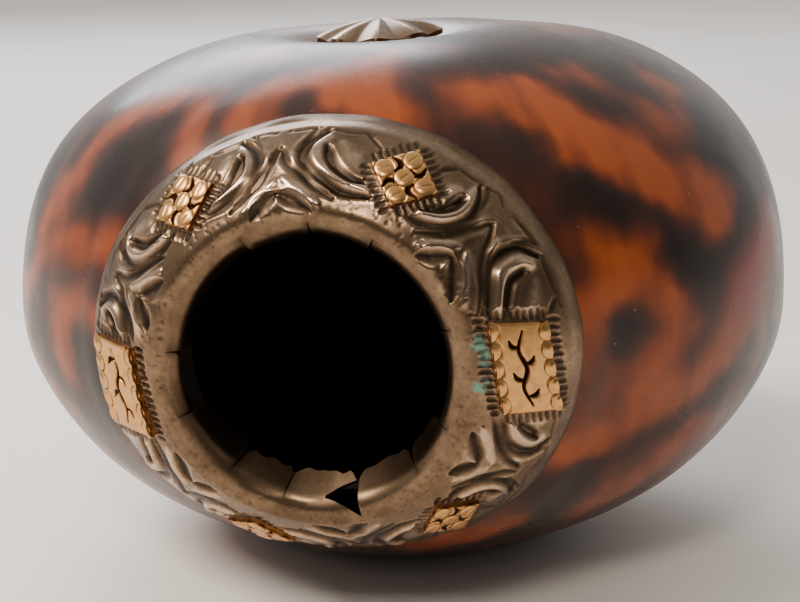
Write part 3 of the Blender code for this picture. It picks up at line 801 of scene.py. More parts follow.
plaque_beds = [(*place, LONG_LENGTH / 2, LONG_WIDTH / 2, LONG_SLANT) for place in LONG_PLAQUES.values()]
plaque_beds += [(*place, FLOWER_SIDE / 2, FLOWER_SIDE / 2, 0.0) for place in FLOWER_PLAQUES.values()]
for psi, turn, half_length, half_width, slant in plaque_beds:
    steps = np.linspace(-1.0, 1.0, 9)
    spots = [(half_length * s + half_width * t * slant, half_width * t) for s in steps for t in steps]
    bed = np.stack([on_collar(psi, turn, along, across)[0] for along, across in spots])
    picked = near_columns(bed, 0.1)
    points = show[:, picked].reshape(-1, 3)
    gap = np.min([np.linalg.norm(points - point, axis=1) for point in bed], axis=0).reshape(len(show), -1)
    keep = fade(gap, 0.6 * MM, 2.2 * MM)
    chased[:, picked] *= keep
    tarnish[:, picked] *= keep
    for (along, across), (out_along, out_across) in plaque_rim(half_length, half_width, 0.4 * MM):
        sway = chaser.normal(size=2) * 0.08 * MM
        length = chaser.uniform(0.8, 1.1) * MM
        far = (along + out_along * length + sway[0], across + out_across * length + sway[1])
        near_end = on_collar(psi, turn, along + across * slant, across)[0]
        far_end = on_collar(psi, turn, far[0] + far[1] * slant, far[1])[0]
        press(np.array((near_end, far_end)), (0.3, 0.34, 0.3), chaser.uniform(0.14, 0.2), 0.5, 4.0)

band_points = show.reshape(-1, 3)
chased += SHEET_UNEVENNESS * ripple(band_points, 7 * MM, 51).reshape(chased.shape)
pits = np.random.default_rng(61)
for _ in range(PIT_COUNT):
    row = int(pits.integers(BAND_ROWS - 6, SHOW_ROWS - 2))
    column = int(pits.integers(0, COLLAR_COLUMNS))
    size = pits.uniform(0.1, 0.26) * MM
    rows = slice(max(row - 5, 0), min(row + 6, SHOW_ROWS))
    picked = np.arange(column - 6, column + 7) % COLLAR_COLUMNS
    gap = np.linalg.norm(show[rows][:, picked] - show[row, column], axis=-1)
    dent = np.exp(-((gap / size) ** 2))
    block = np.ix_(np.arange(rows.start, rows.stop), picked)
    chased[block] -= dent * pits.uniform(0.04, 0.1) * MM
    tarnish[block] = np.maximum(tarnish[block], dent * pits.uniform(0.05, 0.3))
blurred = chased
for shift in (1, 2, 4, 8):
    padded = np.pad(blurred, ((shift, shift), (0, 0)), mode="edge")
    blurred = (padded[2 * shift:] + padded[:-2 * shift] + 2 * blurred) / 4
    blurred = (np.roll(blurred, shift, axis=1) + np.roll(blurred, -shift, axis=1) + 2 * blurred) / 4
tarnish = np.clip(FLAT_TARNISH + GROOVE_TARNISH * tarnish - (chased - blurred) / TARNISH_RISE, 0.0, 1.0)
tarnish[BAND_ROWS:] = np.minimum(tarnish[BAND_ROWS:] + LIP_TARNISH, 1.0)
show_chased = show + show_normal * chased[..., None]
front = show_chased[BAND_ROWS:]
first_row = slice(BAND_ROWS, BAND_ROWS + 1)
rear_start = show[first_row] - show_normal[first_row] * THIN_SHEET
rear = np.concatenate((rear_start, fold_points(ring_run, ring_grid, THIN_SHEET)))
slit_row = RING_ROWS
FOLD_ROWS = RING_ROWS + TAB_ROWS + 1
tabs = sorted((round(angle % 360 * COLLAR_COLUMNS / 360) % COLLAR_COLUMNS, *rest) for angle, *rest in TABS)

collar_points = [show_chased[:BAND_ROWS].reshape(-1, 3)]
collar_tarnish = [tarnish[:BAND_ROWS].ravel()]
band_index = np.arange(BAND_ROWS * COLLAR_COLUMNS).reshape(BAND_ROWS, COLLAR_COLUMNS)
count = BAND_ROWS * COLLAR_COLUMNS
left_index = np.zeros((2, FOLD_ROWS, COLLAR_COLUMNS), int)
right_index = np.zeros((2, FOLD_ROWS, COLLAR_COLUMNS), int)
for layer, sheet in enumerate((front, rear)):
    ring = np.arange((slit_row + 1) * COLLAR_COLUMNS).reshape(slit_row + 1, COLLAR_COLUMNS) + count
    left_index[layer, :slit_row + 1] = ring
    right_index[layer, :slit_row + 1] = ring
    collar_points.append(sheet.reshape(-1, 3))
    collar_tarnish.append(tarnish[BAND_ROWS:].ravel())
    count += ring.size
below = np.arange(slit_row + 1, FOLD_ROWS)
tab_shares = np.linspace(0.0, 1.0, TAB_ROWS)[:, None]
for number, (first, reach, bend, lean_over, stop) in enumerate(tabs):
    last = tabs[(number + 1) % len(tabs)][0]
    span = (last - first) % COLLAR_COLUMNS
    tab = np.arange(first, first + span + 1) % COLLAR_COLUMNS
    across = np.linspace(-1.0, 1.0, span + 1)
    end_line = np.stack((across * span * 0.12, across * 0, across * 0), axis=-1)
    ragged = 0.25 * ripple(end_line, 5.0, 80 + number)
    rounded = 1.3 * np.maximum(np.abs(across) - 0.7, 0.0) ** 2 / 0.09
    end = (reach + ragged - np.minimum(rounded, reach - 3.0)) * MM
    start = ring_end[tab] + (end - ring_end[tab]) / (TAB_ROWS + 1)
    if torn[tab[-2]]:
        split_off = torn[tab]
        start = np.where(split_off, np.interp(column_degrees[tab], tear_angles, tear_lower) * MM, start)
    else:
        start = np.maximum(start, SLIT_RUN)
    run = start + (end - start) * tab_shares
    down = np.clip((run - SLIT_RUN) / (end - SLIT_RUN), 0.0, 1.0)
    psi = column_turn[first] + np.arange(span + 1) * 2.0 * pi / COLLAR_COLUMNS
    psi = psi - SLIT_GAP / 2 / BORE_RADIUS * across**5 * down
    curl = MM * bend * (1.0 + lean_over * across - 0.3 * across**2) * down**1.15
    for layer, inset in enumerate((0.0, THIN_SHEET)):
        points = fold_points(run, np.broadcast_to(psi, run.shape), inset, radians(stop))
        points[..., 0] -= curl * np.cos(psi)
        points[..., 2] -= curl * np.sin(psi)
        index = np.arange(run.size).reshape(run.shape) + count
        right_index[layer][np.ix_(below, tab[:-1])] = index[:, :-1]
        left_index[layer][np.ix_(below, tab[1:])] = index[:, 1:]
        collar_points.append(points.reshape(-1, 3))
        dull_edges = TAB_TARNISH + 0.3 * np.abs(across) ** 8
        collar_tarnish.append(np.broadcast_to(dull_edges, run.shape).ravel())
        count += index.size
edge_back = over_mouth(edge_line, column_turn, skin_front(edge_line, column_turn) - 0.05 * MM)
back_shares = np.linspace(0.0, 1.0, BACK_ROWS + 1)[:-1, None]
back_rho = edge_line + (BAND_START - edge_line) * back_shares
back_grid = np.broadcast_to(column_turn, back_rho.shape)
back_lift = fade(back_shares, 0.0, 0.3)[..., None]
back_y = collar_front(np.minimum(back_rho, collar_edge(back_grid)), back_grid) + THIN_SHEET
back_band = over_mouth(back_rho, back_grid, back_y) * back_lift + edge_back * (1.0 - back_lift)
back_index = np.arange(BACK_ROWS * COLLAR_COLUMNS).reshape(BACK_ROWS, COLLAR_COLUMNS) + count
collar_points.append(back_band.reshape(-1, 3))
collar_tarnish.append(np.full(back_index.size, BACK_TARNISH))
collar_points = np.concatenate(collar_points)
collar_tarnish = np.concatenate(collar_tarnish)

following = np.roll(columns, -1)
collar_faces = []


def add_quads(a, b, c, d):
    """Add a block of quads from four arrays of point numbers."""
    collar_faces.extend(np.stack((a, b, c, d), axis=-1).reshape(-1, 4).tolist())


band_rows = np.concatenate((band_index, right_index[0][:1]))
add_quads(band_rows[:-1], band_rows[1:], band_rows[1:][:, following], band_rows[:-1][:, following])
back_rows = np.concatenate((back_index, right_index[1][:1]))
add_quads(back_rows[:-1], back_rows[:-1][:, following], back_rows[1:][:, following], back_rows[1:])
add_quads(band_index[0], band_index[0][following], back_index[0][following], back_index[0])
kept = np.ones((FOLD_ROWS - 1, COLLAR_COLUMNS), bool)
kept[slit_row] = ~(torn & np.roll(torn, -1))
split = np.zeros(COLLAR_COLUMNS, bool)
split[[tab[0] for tab in tabs]] = True
for row in range(FOLD_ROWS - 1):
    for column in np.where(kept[row])[0]:
        after = following[column]
        before = column - 1
        shown, hidden = (
            (right[row, column], right[row + 1, column], left[row + 1, after], left[row, after])
            for right, left in zip(right_index, left_index)
        )
        collar_faces.append(shown)
        collar_faces.append(hidden[::-1])
        if row == FOLD_ROWS - 2 or not kept[row + 1, column]:
            collar_faces.append((shown[1], hidden[1], hidden[2], shown[2]))
        if row > 0 and not kept[row - 1, column]:
            collar_faces.append((shown[3], hidden[3], hidden[0], shown[0]))
        if not kept[row, before] or (row >= slit_row and split[column]):
            collar_faces.append((shown[0], hidden[0], hidden[1], shown[1]))
        if not kept[row, after] or (row >= slit_row and split[after]):
            collar_faces.append((shown[2], hidden[2], hidden[3], shown[3]))
collar = new_piece("collar", collar_points + WAIST, [tuple(int(n) for n in face) for face in collar_faces])
bm = bmesh.new()
bm.from_mesh(collar.data)
bmesh.ops.recalc_face_normals(bm, faces=bm.faces[:])
bm.to_mesh(collar.data)
bm.free()
collar.data.shade_smooth()
collar.data.set_sharp_from_angle(angle=SHEET_CREASE)
mark(collar, "tarnish", collar_tarnish)
green = np.zeros(len(collar_points))
for degrees_round, distance in VERDIGRIS:
    psi = radians(degrees_round)
    rho = distance * MM
    spot = over_mouth(rho, psi, collar_front(rho, psi))
    gap = np.linalg.norm(collar_points - spot, axis=1)
    green = np.maximum(green, np.exp(-((gap / VERDIGRIS_SPREAD) ** 2)))
mark(collar, "verdigris", green)

# Aged nickel silver: worn bright and faintly pink on the ridges, dull brown grey on the flats and
# black-brown with old polish in the grooves, with fine rubbing marks all over and a little verdigris
nickel_silver, tree, place = new_material("aged_nickel_silver")
stain = add_node(tree, "Attribute", attribute_name="tarnish", out="Fac")
verdigris = add_node(tree, "Attribute", attribute_name="verdigris", out="Fac")
blotch = add_node(
    tree, "TexNoise", {"Vector": place, "Scale": 1 / (5 * MM), "Detail": 5.0, "Roughness": 0.6}
)
speck = add_node(
    tree, "TexNoise", {"Vector": place, "Scale": 1 / (0.7 * MM), "Detail": 4.0, "Roughness": 0.7}
)
patch = add_node(tree, "MapRange", (blotch, 0.3, 0.7, -0.1, 0.12))
fleck = add_node(tree, "MapRange", (speck, 0.35, 0.7, -0.05, 0.08))
dull = add_node(tree, "Math", (stain, patch), operation="ADD")
dull = add_node(tree, "Math", (dull, fleck), operation="ADD")
silver = add_node(
    tree, "ValToRGB", {"Fac": dull},
    stops=((0.0, "#c0a389"), (0.22, "#836b54"), (0.45, "#614e3c"), (0.75, "#403429"), (1.0, "#271f18")),
)
green_noise = add_node(tree, "TexNoise", {"Vector": place, "Scale": 1 / (0.9 * MM), "Detail": 3.0})
green_mask = add_node(tree, "Math", (green_noise, verdigris), operation="MULTIPLY")
green_mask = add_node(tree, "MapRange", (green_mask, 0.28, 0.5, 0.0, 0.85))
coloured = add_node(tree, "Mix", {"Factor": green_mask, 6: silver, 7: linear("#5c9482")}, data_type="RGBA")
polish = add_node(tree, "MapRange", (dull, 0.0, 0.8, 0.18, 0.46))
crust = add_node(tree, "Math", (1.0, green_mask), operation="SUBTRACT")
rubbing = add_node(
    tree, "TexNoise", {"Vector": place, "Scale": 1 / (0.35 * MM), "Detail": 3.0, "Roughness": 0.65}
)
bump = add_node(tree, "Bump", {"Height": rubbing, "Strength": 0.18, "Distance": 0.05 * MM})
shader = add_node(
    tree, "BsdfPrincipled", {"Base Color": coloured, "Roughness": polish, "Metallic": crust, "Normal": bump}
)
add_node(tree, "OutputMaterial", {"Surface": shader})
collar.data.materials.append(nickel_silver)
dress(collar, "mouth_collar")

# Flower plaques
# Four small squares of rose gold, each punched up in five bosses with petals cut between them,
# bent over the collar and soldered down, standing on one corner.
PLAQUE_STAND = 0.75 * MM
PLATE_SINK = 0.1 * MM
PLATE_BEVEL = 0.16 * MM
GOLD_CREASE = radians(55)
BOSS_RADIUS = 1.25 * MM
BOSS_RISE = 0.2 * MM
BOSS_SPACING = 2.0 * MM
BOSS_DROP = 0.05 * MM
BOSS_SLANT = 0.35
SLASH_DEPTH = 0.09 * MM
PLATE_CELLS = 72
BOSS_RINGS = 10
BOSS_TURNS = 36


def close_below(name, points, faces, rim, floor):
    """A closed piece from an open form: its rim, anticlockwise from above, walled down to a base."""
    rim = np.array(rim)
    lower = np.arange(len(rim)) + len(points)
    base = points[rim] * (1.0, 1.0, 0.0) + (0.0, 0.0, floor)
    faces = faces + np.stack((lower, np.roll(lower, -1), np.roll(rim, -1), rim), axis=-1).tolist()
    faces.append(lower[::-1].tolist())
    return new_piece(name, np.concatenate((points, base)), [[int(n) for n in face] for face in faces])


def sheet_faces(index):
    """Quads of an open grid of point numbers."""
    quads = np.stack((index[:-1, :-1], index[1:, :-1], index[1:, 1:], index[:-1, 1:]), axis=-1)
    return quads.reshape(-1, 4).tolist()


def flat_plate(name, half_length, half_width, cells_along, cells_across, stand, slant=0.0, outline=None):
    """A flat plate: a grid on its show side, raised by a function of place, with rim and back."""
    u = np.linspace(-1, 1, cells_along + 1)
    v = np.linspace(-1, 1, cells_across + 1)
    u, v = np.meshgrid(u, v, indexing="ij")
    along = u * half_length
    across = v * half_width if outline is None else v * outline(u)
    rounded = np.minimum(half_length - np.abs(along), half_width * (1.0 - np.abs(v)))
    bevel = PLATE_BEVEL * np.exp(-((rounded / PLATE_BEVEL) ** 2))
    slanted = along + across * slant
    top = np.stack((slanted, across, PLAQUE_STAND + stand(along, across) - bevel), axis=-1)
    index = np.arange(along.size).reshape(along.shape)
    rim = np.concatenate((index[:-1, 0], index[-1, :-1], index[:0:-1, -1], index[0, :0:-1]))
    return close_below(name, top.reshape(-1, 3), sheet_faces(index), rim, -PLATE_SINK)


def engraved(along, across, strokes, half_width, depth):
    """Depth cut by engraved strokes at places on a plate."""
    points = np.stack((along.ravel(), across.ravel(), np.zeros(along.size)), axis=-1)
    cut = np.zeros(along.size)
    for stroke in strokes:
        path = smooth_path(np.column_stack((np.array(stroke) * MM, np.zeros(len(stroke)))))
        gap, share = path_distance(points, path)
        width = half_width * (0.35 + 0.65 * np.sin(pi * np.clip(share, 0.05, 0.95)))
        cut = np.maximum(cut, depth * np.exp(-((gap / width) ** 4)))
    return cut.reshape(along.shape)


PETAL_CUT = ((0.35, 3.1), (-0.25, 2.3), (-0.1, 1.55), (0.7, 1.25))
PETAL_CUTS = [
    [(cos(turn) * a - sin(turn) * b, sin(turn) * a + cos(turn) * b) for a, b in PETAL_CUT]
    for turn in (0.0, pi / 2, pi, 3 * pi / 2)
]


def flower_relief(along, across):
    """Show side of a flower plaque: a groove round each boss, and petals cut between them."""
    corner = np.hypot(np.abs(along) - BOSS_SPACING, np.abs(across) - BOSS_SPACING)
    nearest = np.minimum(np.hypot(along, across), corner)
    ring = 0.12 * MM * np.exp(-(((nearest - BOSS_RADIUS) / (0.16 * MM)) ** 2))
    return -ring - engraved(along, across, PETAL_CUTS, 0.36 * MM, 0.4 * MM)


def fan(radius, rings, turn):
    """X and Y of points in rings round a middle, and the share of the radius at each."""
    share = np.broadcast_to((np.arange(rings) + 1.0)[:, None] / rings, (rings, len(turn)))
    return radius * share * np.cos(turn), radius * share * np.sin(turn), share


def boss_form():
    """One boss: a low dome with a slash cut across it."""
    turn = np.arange(BOSS_TURNS) * 2.0 * pi / BOSS_TURNS
    x, y, share = fan(BOSS_RADIUS, BOSS_RINGS, turn)
    dome = BOSS_RISE * (1.0 - share**4) - BOSS_DROP
    slash = SLASH_DEPTH * np.exp(-((x / (0.11 * MM)) ** 2)) * (1.0 - share**3)
    points = np.stack((x, y, dome - slash), axis=-1).reshape(-1, 3)
    points = np.concatenate((points, ((0.0, 0.0, BOSS_RISE - BOSS_DROP - SLASH_DEPTH),)))
    faces = grid_faces(BOSS_RINGS, BOSS_TURNS)
    faces += [(len(points) - 1, column, (column + 1) % BOSS_TURNS) for column in range(BOSS_TURNS)]
    rim = np.arange(BOSS_TURNS) + (BOSS_RINGS - 1) * BOSS_TURNS
    return close_below("boss", points, faces, rim, -PLATE_SINK)


def plate_group(name, inputs):
    """A node group that sets copies of a form on a plate: its tree, sockets, given values and form."""
    tree = bpy.data.node_groups.new(name, "GeometryNodeTree")
    sockets = {}
    for key, kind in {"Plate": "Geometry", "Form": "Object", "Gold": "Material", **inputs}.items():
        socket = tree.interface.new_socket(name=key, in_out="INPUT", socket_type="NodeSocket" + kind)
        sockets[key] = socket.identifier
    tree.interface.new_socket(name="Plaque", in_out="OUTPUT", socket_type="NodeSocketGeometry")
    given = add_node(tree, "NodeGroupInput").node.outputs
    form = add_node(tree, "GeometryNodeObjectInfo", {"Object": given["Form"]}, out="Geometry")
    return tree, sockets, given, form


def finish_group(tree, given, forms):
    """Join the forms to the plate, make them real and give all of it the gold."""
    joined = add_node(tree, "GeometryNodeJoinGeometry", {"Geometry": [given["Plate"], *forms]})
    real = add_node(tree, "GeometryNodeRealizeInstances", {"Geometry": joined})
    finished = add_node(tree, "GeometryNodeSetMaterial", {"Geometry": real, "Material": given["Gold"]})
    add_node(tree, "NodeGroupOutput", {"Plaque": finished})


def punch(plaque, tree, sockets, values):
    """Set a node group's forms on a plaque and keep the result as a plain mesh."""
    modifier = plaque.modifiers.new(tree.name, "NODES")
    modifier.node_group = tree
    for key, value in values.items():
        modifier[sockets[key]] = value
    make_plain(plaque)
    plaque.data.shade_smooth()
    plaque.data.set_sharp_from_angle(angle=GOLD_CREASE)


# Rose gold: a reddish gold alloy, punched and rubbed, so warm bright tops over browned hollows
rose_gold, tree, place = new_material("rubbed_rose_gold")
sunk = add_node(tree, "Attribute", attribute_name="sunk", out="Fac")
haze = add_node(
    tree, "TexNoise", {"Vector": place, "Scale": 1 / (1.4 * MM), "Detail": 5.0, "Roughness": 0.65}
)
haze = add_node(tree, "MapRange", (haze, 0.35, 0.7, -0.1, 0.2))
grime = add_node(tree, "Math", (sunk, haze), operation="ADD")
gold = add_node(
    tree, "ValToRGB", {"Fac": grime},
    stops=((0.0, "#d3a065"), (0.3, "#ad7a45"), (0.6, "#613d1f"), (1.0, "#1f110a")),
)
polish = add_node(tree, "MapRange", (grime, 0.0, 0.8, 0.28, 0.6))
scuffs = add_node(
    tree, "TexNoise", {"Vector": place, "Scale": 1 / (0.4 * MM), "Detail": 3.0, "Roughness": 0.6}
)
bump = add_node(tree, "Bump", {"Height": scuffs, "Strength": 0.25, "Distance": 0.05 * MM})
shader = add_node(
    tree, "BsdfPrincipled", {"Base Color": gold, "Roughness": polish, "Metallic": 1.0, "Normal": bump}
)
add_node(tree, "OutputMaterial", {"Surface": shader})

boss = boss_form()
boss_inputs = {"Spacing": "Float", "Stand": "Float", "Seed": "Int"}
boss_tree, boss_sockets, given, form = plate_group("five_bosses", boss_inputs)
across = add_node(boss_tree, "Math", (given["Spacing"], 2.0), operation="MULTIPLY")
square = {"Size X": across, "Size Y": across, "Vertices X": 2, "Vertices Y": 2}
corners = add_node(boss_tree, "GeometryNodeMeshGrid", square)
middle = add_node(boss_tree, "GeometryNodeMeshLine", {"Count": 1})
places = add_node(boss_tree, "GeometryNodeJoinGeometry", {"Geometry": [corners, middle]})
lift = add_node(boss_tree, "CombineXYZ", {"Z": given["Stand"]})
raised = add_node(boss_tree, "GeometryNodeSetPosition", {"Geometry": places, "Offset": lift})
turns = {"Min": (0.0, 0.0, -BOSS_SLANT), "Max": (0.0, 0.0, BOSS_SLANT), "Seed": given["Seed"]}
slant = add_node(boss_tree, "FunctionNodeRandomValue", turns, data_type="FLOAT_VECTOR")
on_places = {"Points": raised, "Instance": form, "Rotation": slant}
finish_group(boss_tree, given, [add_node(boss_tree, "GeometryNodeInstanceOnPoints", on_places)])


def bend_over_collar(piece, psi, turn):
    """Bend a flat plaque over the collar and mark what lies sunk in it."""
    flat = mesh_points(piece)
    base, normal = on_collar(psi, turn, flat[:, 0], flat[:, 1])
    sunk = np.clip((PLAQUE_STAND - 0.02 * MM - flat[:, 2]) / (0.26 * MM), 0.0, 1.0)
    mark(piece, "sunk", sunk * (flat[:, 2] > 0.3 * MM))
    move_points(piece, base + normal * flat[:, 2:] + WAIST)
    # The bend swaps left and right, so the faces are turned to point outwards again
    piece.data.flip_normals()


for seed, (node, (psi, turn)) in enumerate(FLOWER_PLAQUES.items()):
    half_side = FLOWER_SIDE / 2
    plaque = flat_plate(node + "_gold", half_side, half_side, PLATE_CELLS, PLATE_CELLS, flower_relief)
    values = {"Form": boss, "Gold": rose_gold, "Spacing": BOSS_SPACING, "Stand": PLAQUE_STAND, "Seed": seed}
    punch(plaque, boss_tree, boss_sockets, values)
    bend_over_collar(plaque, psi, turn)
    dress(plaque, node)
bpy.data.objects.remove(boss)

# Long plaques
# Two longer plates of the same gold, their long edges punched in a row of half-moon lobes, soldered
# over the collar at its left and right. The field between carries a plain engraved sprig.
LONG_LOBES = 5
LONG_CELLS = 150
WIDE_CELLS = 100
LOBE_RADIUS = 1.28 * MM
LOBE_RISE = 0.34 * MM
LOBE_DROP = 0.04 * MM
LOBE_INSET = 0.25 * MM
LOBE_RINGS = 8
LOBE_TURNS = 32
SPRIG = [
    [(-5.0, 0.3), (-2.5, -0.5), (0.0, 0.4), (2.5, -0.4), (5.0, 0.4)],
    [(-3.8, 0.0), (-3.6, 1.0), (-2.9, 1.5)],
    [(-1.6, -0.2), (-1.3, -1.2), (-0.6, -1.6)],
    [(0.6, 0.3), (0.9, 1.2), (1.6, 1.6)],
    [(2.8, -0.4), (3.0, -1.3), (3.7, -1.6)],
]


def scalloped(u):
    """Half width of a long plaque along its length."""
    return LONG_WIDTH / 2 - 0.35 * MM * np.abs(np.cos(pi * LONG_LOBES * (u + 1.0) / 2.0))


def long_relief(along, across):
    """Show side of a long plaque: the sprig, and a groove behind each lobe."""
    pitch = LONG_LENGTH / LONG_LOBES
    phase = (along + LONG_LENGTH / 2) % pitch - pitch / 2
    gap = np.hypot(phase, LONG_WIDTH / 2 - LOBE_INSET - np.abs(across))
    groove = 0.14 * MM * np.exp(-(((gap - LOBE_RADIUS) / (0.15 * MM)) ** 2))
    return -groove - engraved(along, across, SPRIG, 0.34 * MM, 0.3 * MM)


def lobe_form():
    """One half-moon lobe, lying against the plate's edge at Y 0."""
    x, y, share = fan(LOBE_RADIUS, LOBE_RINGS, np.linspace(0.0, pi, LOBE_TURNS))
    z = LOBE_RISE * (1.0 - share**2.6) - LOBE_DROP
    z = z - 0.12 * MM * np.exp(-(((share - 0.68) / 0.09) ** 2))
    points = np.stack((x, y, z), axis=-1).reshape(-1, 3)
    index = np.arange(len(points)).reshape(LOBE_RINGS, LOBE_TURNS)
    centre = len(points)
    points = np.concatenate((points, ((0.0, 0.0, LOBE_RISE - LOBE_DROP),)))
    faces = sheet_faces(index)
    faces += [(centre, index[0, column], index[0, column + 1]) for column in range(LOBE_TURNS - 1)]
    rim = np.concatenate((index[-1], index[-2::-1, -1], (centre,), index[:-1, 0]))
    return close_below("lobe", points, faces, rim, -PLATE_SINK)


lobe = lobe_form()
lobe_inputs = {"Count": "Int", "Pitch": "Float", "Start": "Vector"}
lobe_tree, lobe_sockets, given, form = plate_group("lobes_along_both_edges", lobe_inputs)
stride = add_node(lobe_tree, "CombineXYZ", {"X": given["Pitch"]})
row = {"Count": given["Count"], "Start Location": given["Start"], "Offset": stride}
edge_places = add_node(lobe_tree, "GeometryNodeMeshLine", row)
near_edge = add_node(lobe_tree, "GeometryNodeInstanceOnPoints", {"Points": edge_places, "Instance": form})
half_turn = {"Geometry": near_edge, "Rotation": (0.0, 0.0, pi)}
finish_group(lobe_tree, given, [near_edge, add_node(lobe_tree, "GeometryNodeTransform", half_turn)])
lobe_pitch = LONG_LENGTH / LONG_LOBES
lobe_line = -LONG_WIDTH / 2 + LOBE_INSET
lobe_start = (-LONG_LENGTH / 2 + lobe_pitch / 2 + lobe_line * LONG_SLANT, lobe_line, PLAQUE_STAND)
for node, (psi, turn) in LONG_PLAQUES.items():
    size = (LONG_LENGTH / 2, LONG_WIDTH / 2, LONG_CELLS, WIDE_CELLS)
    plaque = flat_plate(node + "_gold", *size, long_relief, LONG_SLANT, scalloped)
    values = {"Form": lobe, "Gold": rose_gold, "Count": LONG_LOBES, "Pitch": lobe_pitch, "Start": lobe_start}
    punch(plaque, lobe_tree, lobe_sockets, values)
    bend_over_collar(plaque, psi, turn)
    dress(plaque, node)
bpy.data.objects.remove(lobe)

# Stem cap
# A small rosette of thin nickel silver, fluted and domed, that covers the scar where the stem was.
# It sits in the dimple on a split pin, and one side of its rim stands a little off the skin.
CAP_RADIUS = 9.1 * MM
CAP_RISE = 2.5 * MM
CAP_FLUTES = 9
CAP_FLUTE_DEPTH = 0.5 * MM
CAP_SHEET = 0.7 * MM
CAP_LIFT = 0.35 * MM
CAP_COLUMNS = 216
CAP_ROWS = 30


def crown_height(x, y):
    """Height of the crown's skin at a plan point."""
    share = np.hypot(x, y) / GOURD_RADIUS
    even = (1.0 - share**CROWN_FULLNESS) ** (1.0 / CROWN_FULLNESS)
    return grown(x, y, CROWN_HEIGHT * even)


cap_turn = np.arange(CAP_COLUMNS) * 2.0 * pi / CAP_COLUMNS
cap_share = ((np.arange(CAP_ROWS) + 1.0) / CAP_ROWS)[:, None]
flute = np.cos(CAP_FLUTES * cap_turn) * cap_share**2
valley = np.abs(np.cos(CAP_FLUTES * cap_turn / 2.0)) * cap_share**1.2
cap_reach = CAP_RADIUS * cap_share + CAP_FLUTE_DEPTH * flute
cap_x = STEM_X + cap_reach * np.cos(cap_turn)
cap_y = STEM_Y + cap_reach * np.sin(cap_turn)
cap_seat = crown_height(cap_x[-1], cap_y[-1])
cap_level = float(cap_seat.mean())
cap_rise = CLEARANCE + CAP_RISE * (1.0 - cap_share**2) + CAP_FLUTE_DEPTH * flute * (1.0 - cap_share)
cap_rise = cap_rise + 0.18 * MM * (valley - 0.6) * fade(cap_share, 0.15, 0.5)
lifted = CAP_LIFT * fade(cap_x, STEM_X + 2 * MM, STEM_X + 9 * MM)
cap_under = cap_level + (cap_seat - cap_level) * cap_share + cap_rise + lifted
cap_over = cap_under + CAP_SHEET
cap_top = np.stack((cap_x, cap_y, cap_over), axis=-1).reshape(-1, 3)
cap_bottom = np.stack((cap_x, cap_y, cap_under), axis=-1).reshape(-1, 3)
middle_height = cap_level + CLEARANCE + CAP_RISE
cap_poles = ((STEM_X, STEM_Y, middle_height + CAP_SHEET), (STEM_X, STEM_Y, middle_height))
cap_points = np.concatenate((cap_top, cap_bottom, cap_poles))
size = CAP_ROWS * CAP_COLUMNS
cap_faces = grid_faces(CAP_ROWS, CAP_COLUMNS)
cap_faces += [tuple(reversed(face)) for face in grid_faces(CAP_ROWS, CAP_COLUMNS, size)]
rim = size - CAP_COLUMNS
for column in range(CAP_COLUMNS):
    after = (column + 1) % CAP_COLUMNS
    cap_faces.append((2 * size, column, after))
    cap_faces.append((2 * size + 1, size + after, size + column))
    cap_faces.append((rim + column, size + rim + column, size + rim + after, rim + after))
cap = new_piece("rosette_cap", cap_points + WAIST, cap_faces)
cap.data.set_sharp_from_angle(angle=SHEET_CREASE)
hollows = np.concatenate((1.0 - valley.ravel(), np.full(size, 0.6), (0.2, 0.6)))
mark(cap, "tarnish", np.clip(0.12 + 0.3 * hollows, 0.0, 1.0))
cap.data.materials.append(nickel_silver)
dress(cap, "stem_cap")

# Stem cap pin
# A split pin bent from dark iron strip: its head is under the cap, and its two legs are turned out
# against the inside of the wall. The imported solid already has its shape, so only its finish is made.
# Iron strip: rolled and never polished, so dark, dull and browned by rust in patches
pin_strip, tree, place = new_material("dark_iron_strip")
rust = add_node(
    tree, "TexNoise", {"Vector": place, "Scale": 1 / (1.2 * MM), "Detail": 5.0, "Roughness": 0.6}
)
iron = add_node(
    tree, "ValToRGB", {"Fac": rust},
    stops=((0.35, "#55504a"), (0.6, "#3a2f27"), (0.75, "#5a3420")),
)
wear = add_node(tree, "MapRange", (rust, 0.35, 0.7, 0.4, 0.75))
shader = add_node(tree, "BsdfPrincipled", {"Base Color": iron, "Roughness": wear, "Metallic": 1.0})
add_node(tree, "OutputMaterial", {"Surface": shader})
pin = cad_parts["stem_cap_pin"]
pin.data.materials.clear()
pin.data.materials.append(pin_strip)

# Table
# A plain pale table top, wide enough to fill the view. It isn't part of the object.
TABLE_RADIUS = 3.2
TABLE_SIDES = 96
turn = np.arange(TABLE_SIDES) * 2.0 * pi / TABLE_SIDES
table_rim = TABLE_RADIUS * np.stack((np.cos(turn), np.sin(turn), 0.0 * turn), axis=-1)
table = new_piece("table", table_rim, [tuple(range(TABLE_SIDES))])
# Table paint: a satin coat, so a pale, even ground with hardly any gloss
table_top, tree, place = new_material("pale_table_paint")
cloud = add_node(tree, "TexNoise", {"Vector": place, "Scale": 9.0, "Detail": 3.0, "Roughness": 0.5})
paint = add_node(tree, "ValToRGB", {"Fac": cloud}, stops=((0.3, "#eee8e1"), (0.7, "#f3eee8")))
shader = add_node(tree, "BsdfPrincipled", {"Base Color": paint, "Roughness": 0.55})
add_node(tree, "OutputMaterial", {"Surface": shader})
table.data.materials.append(table_top)

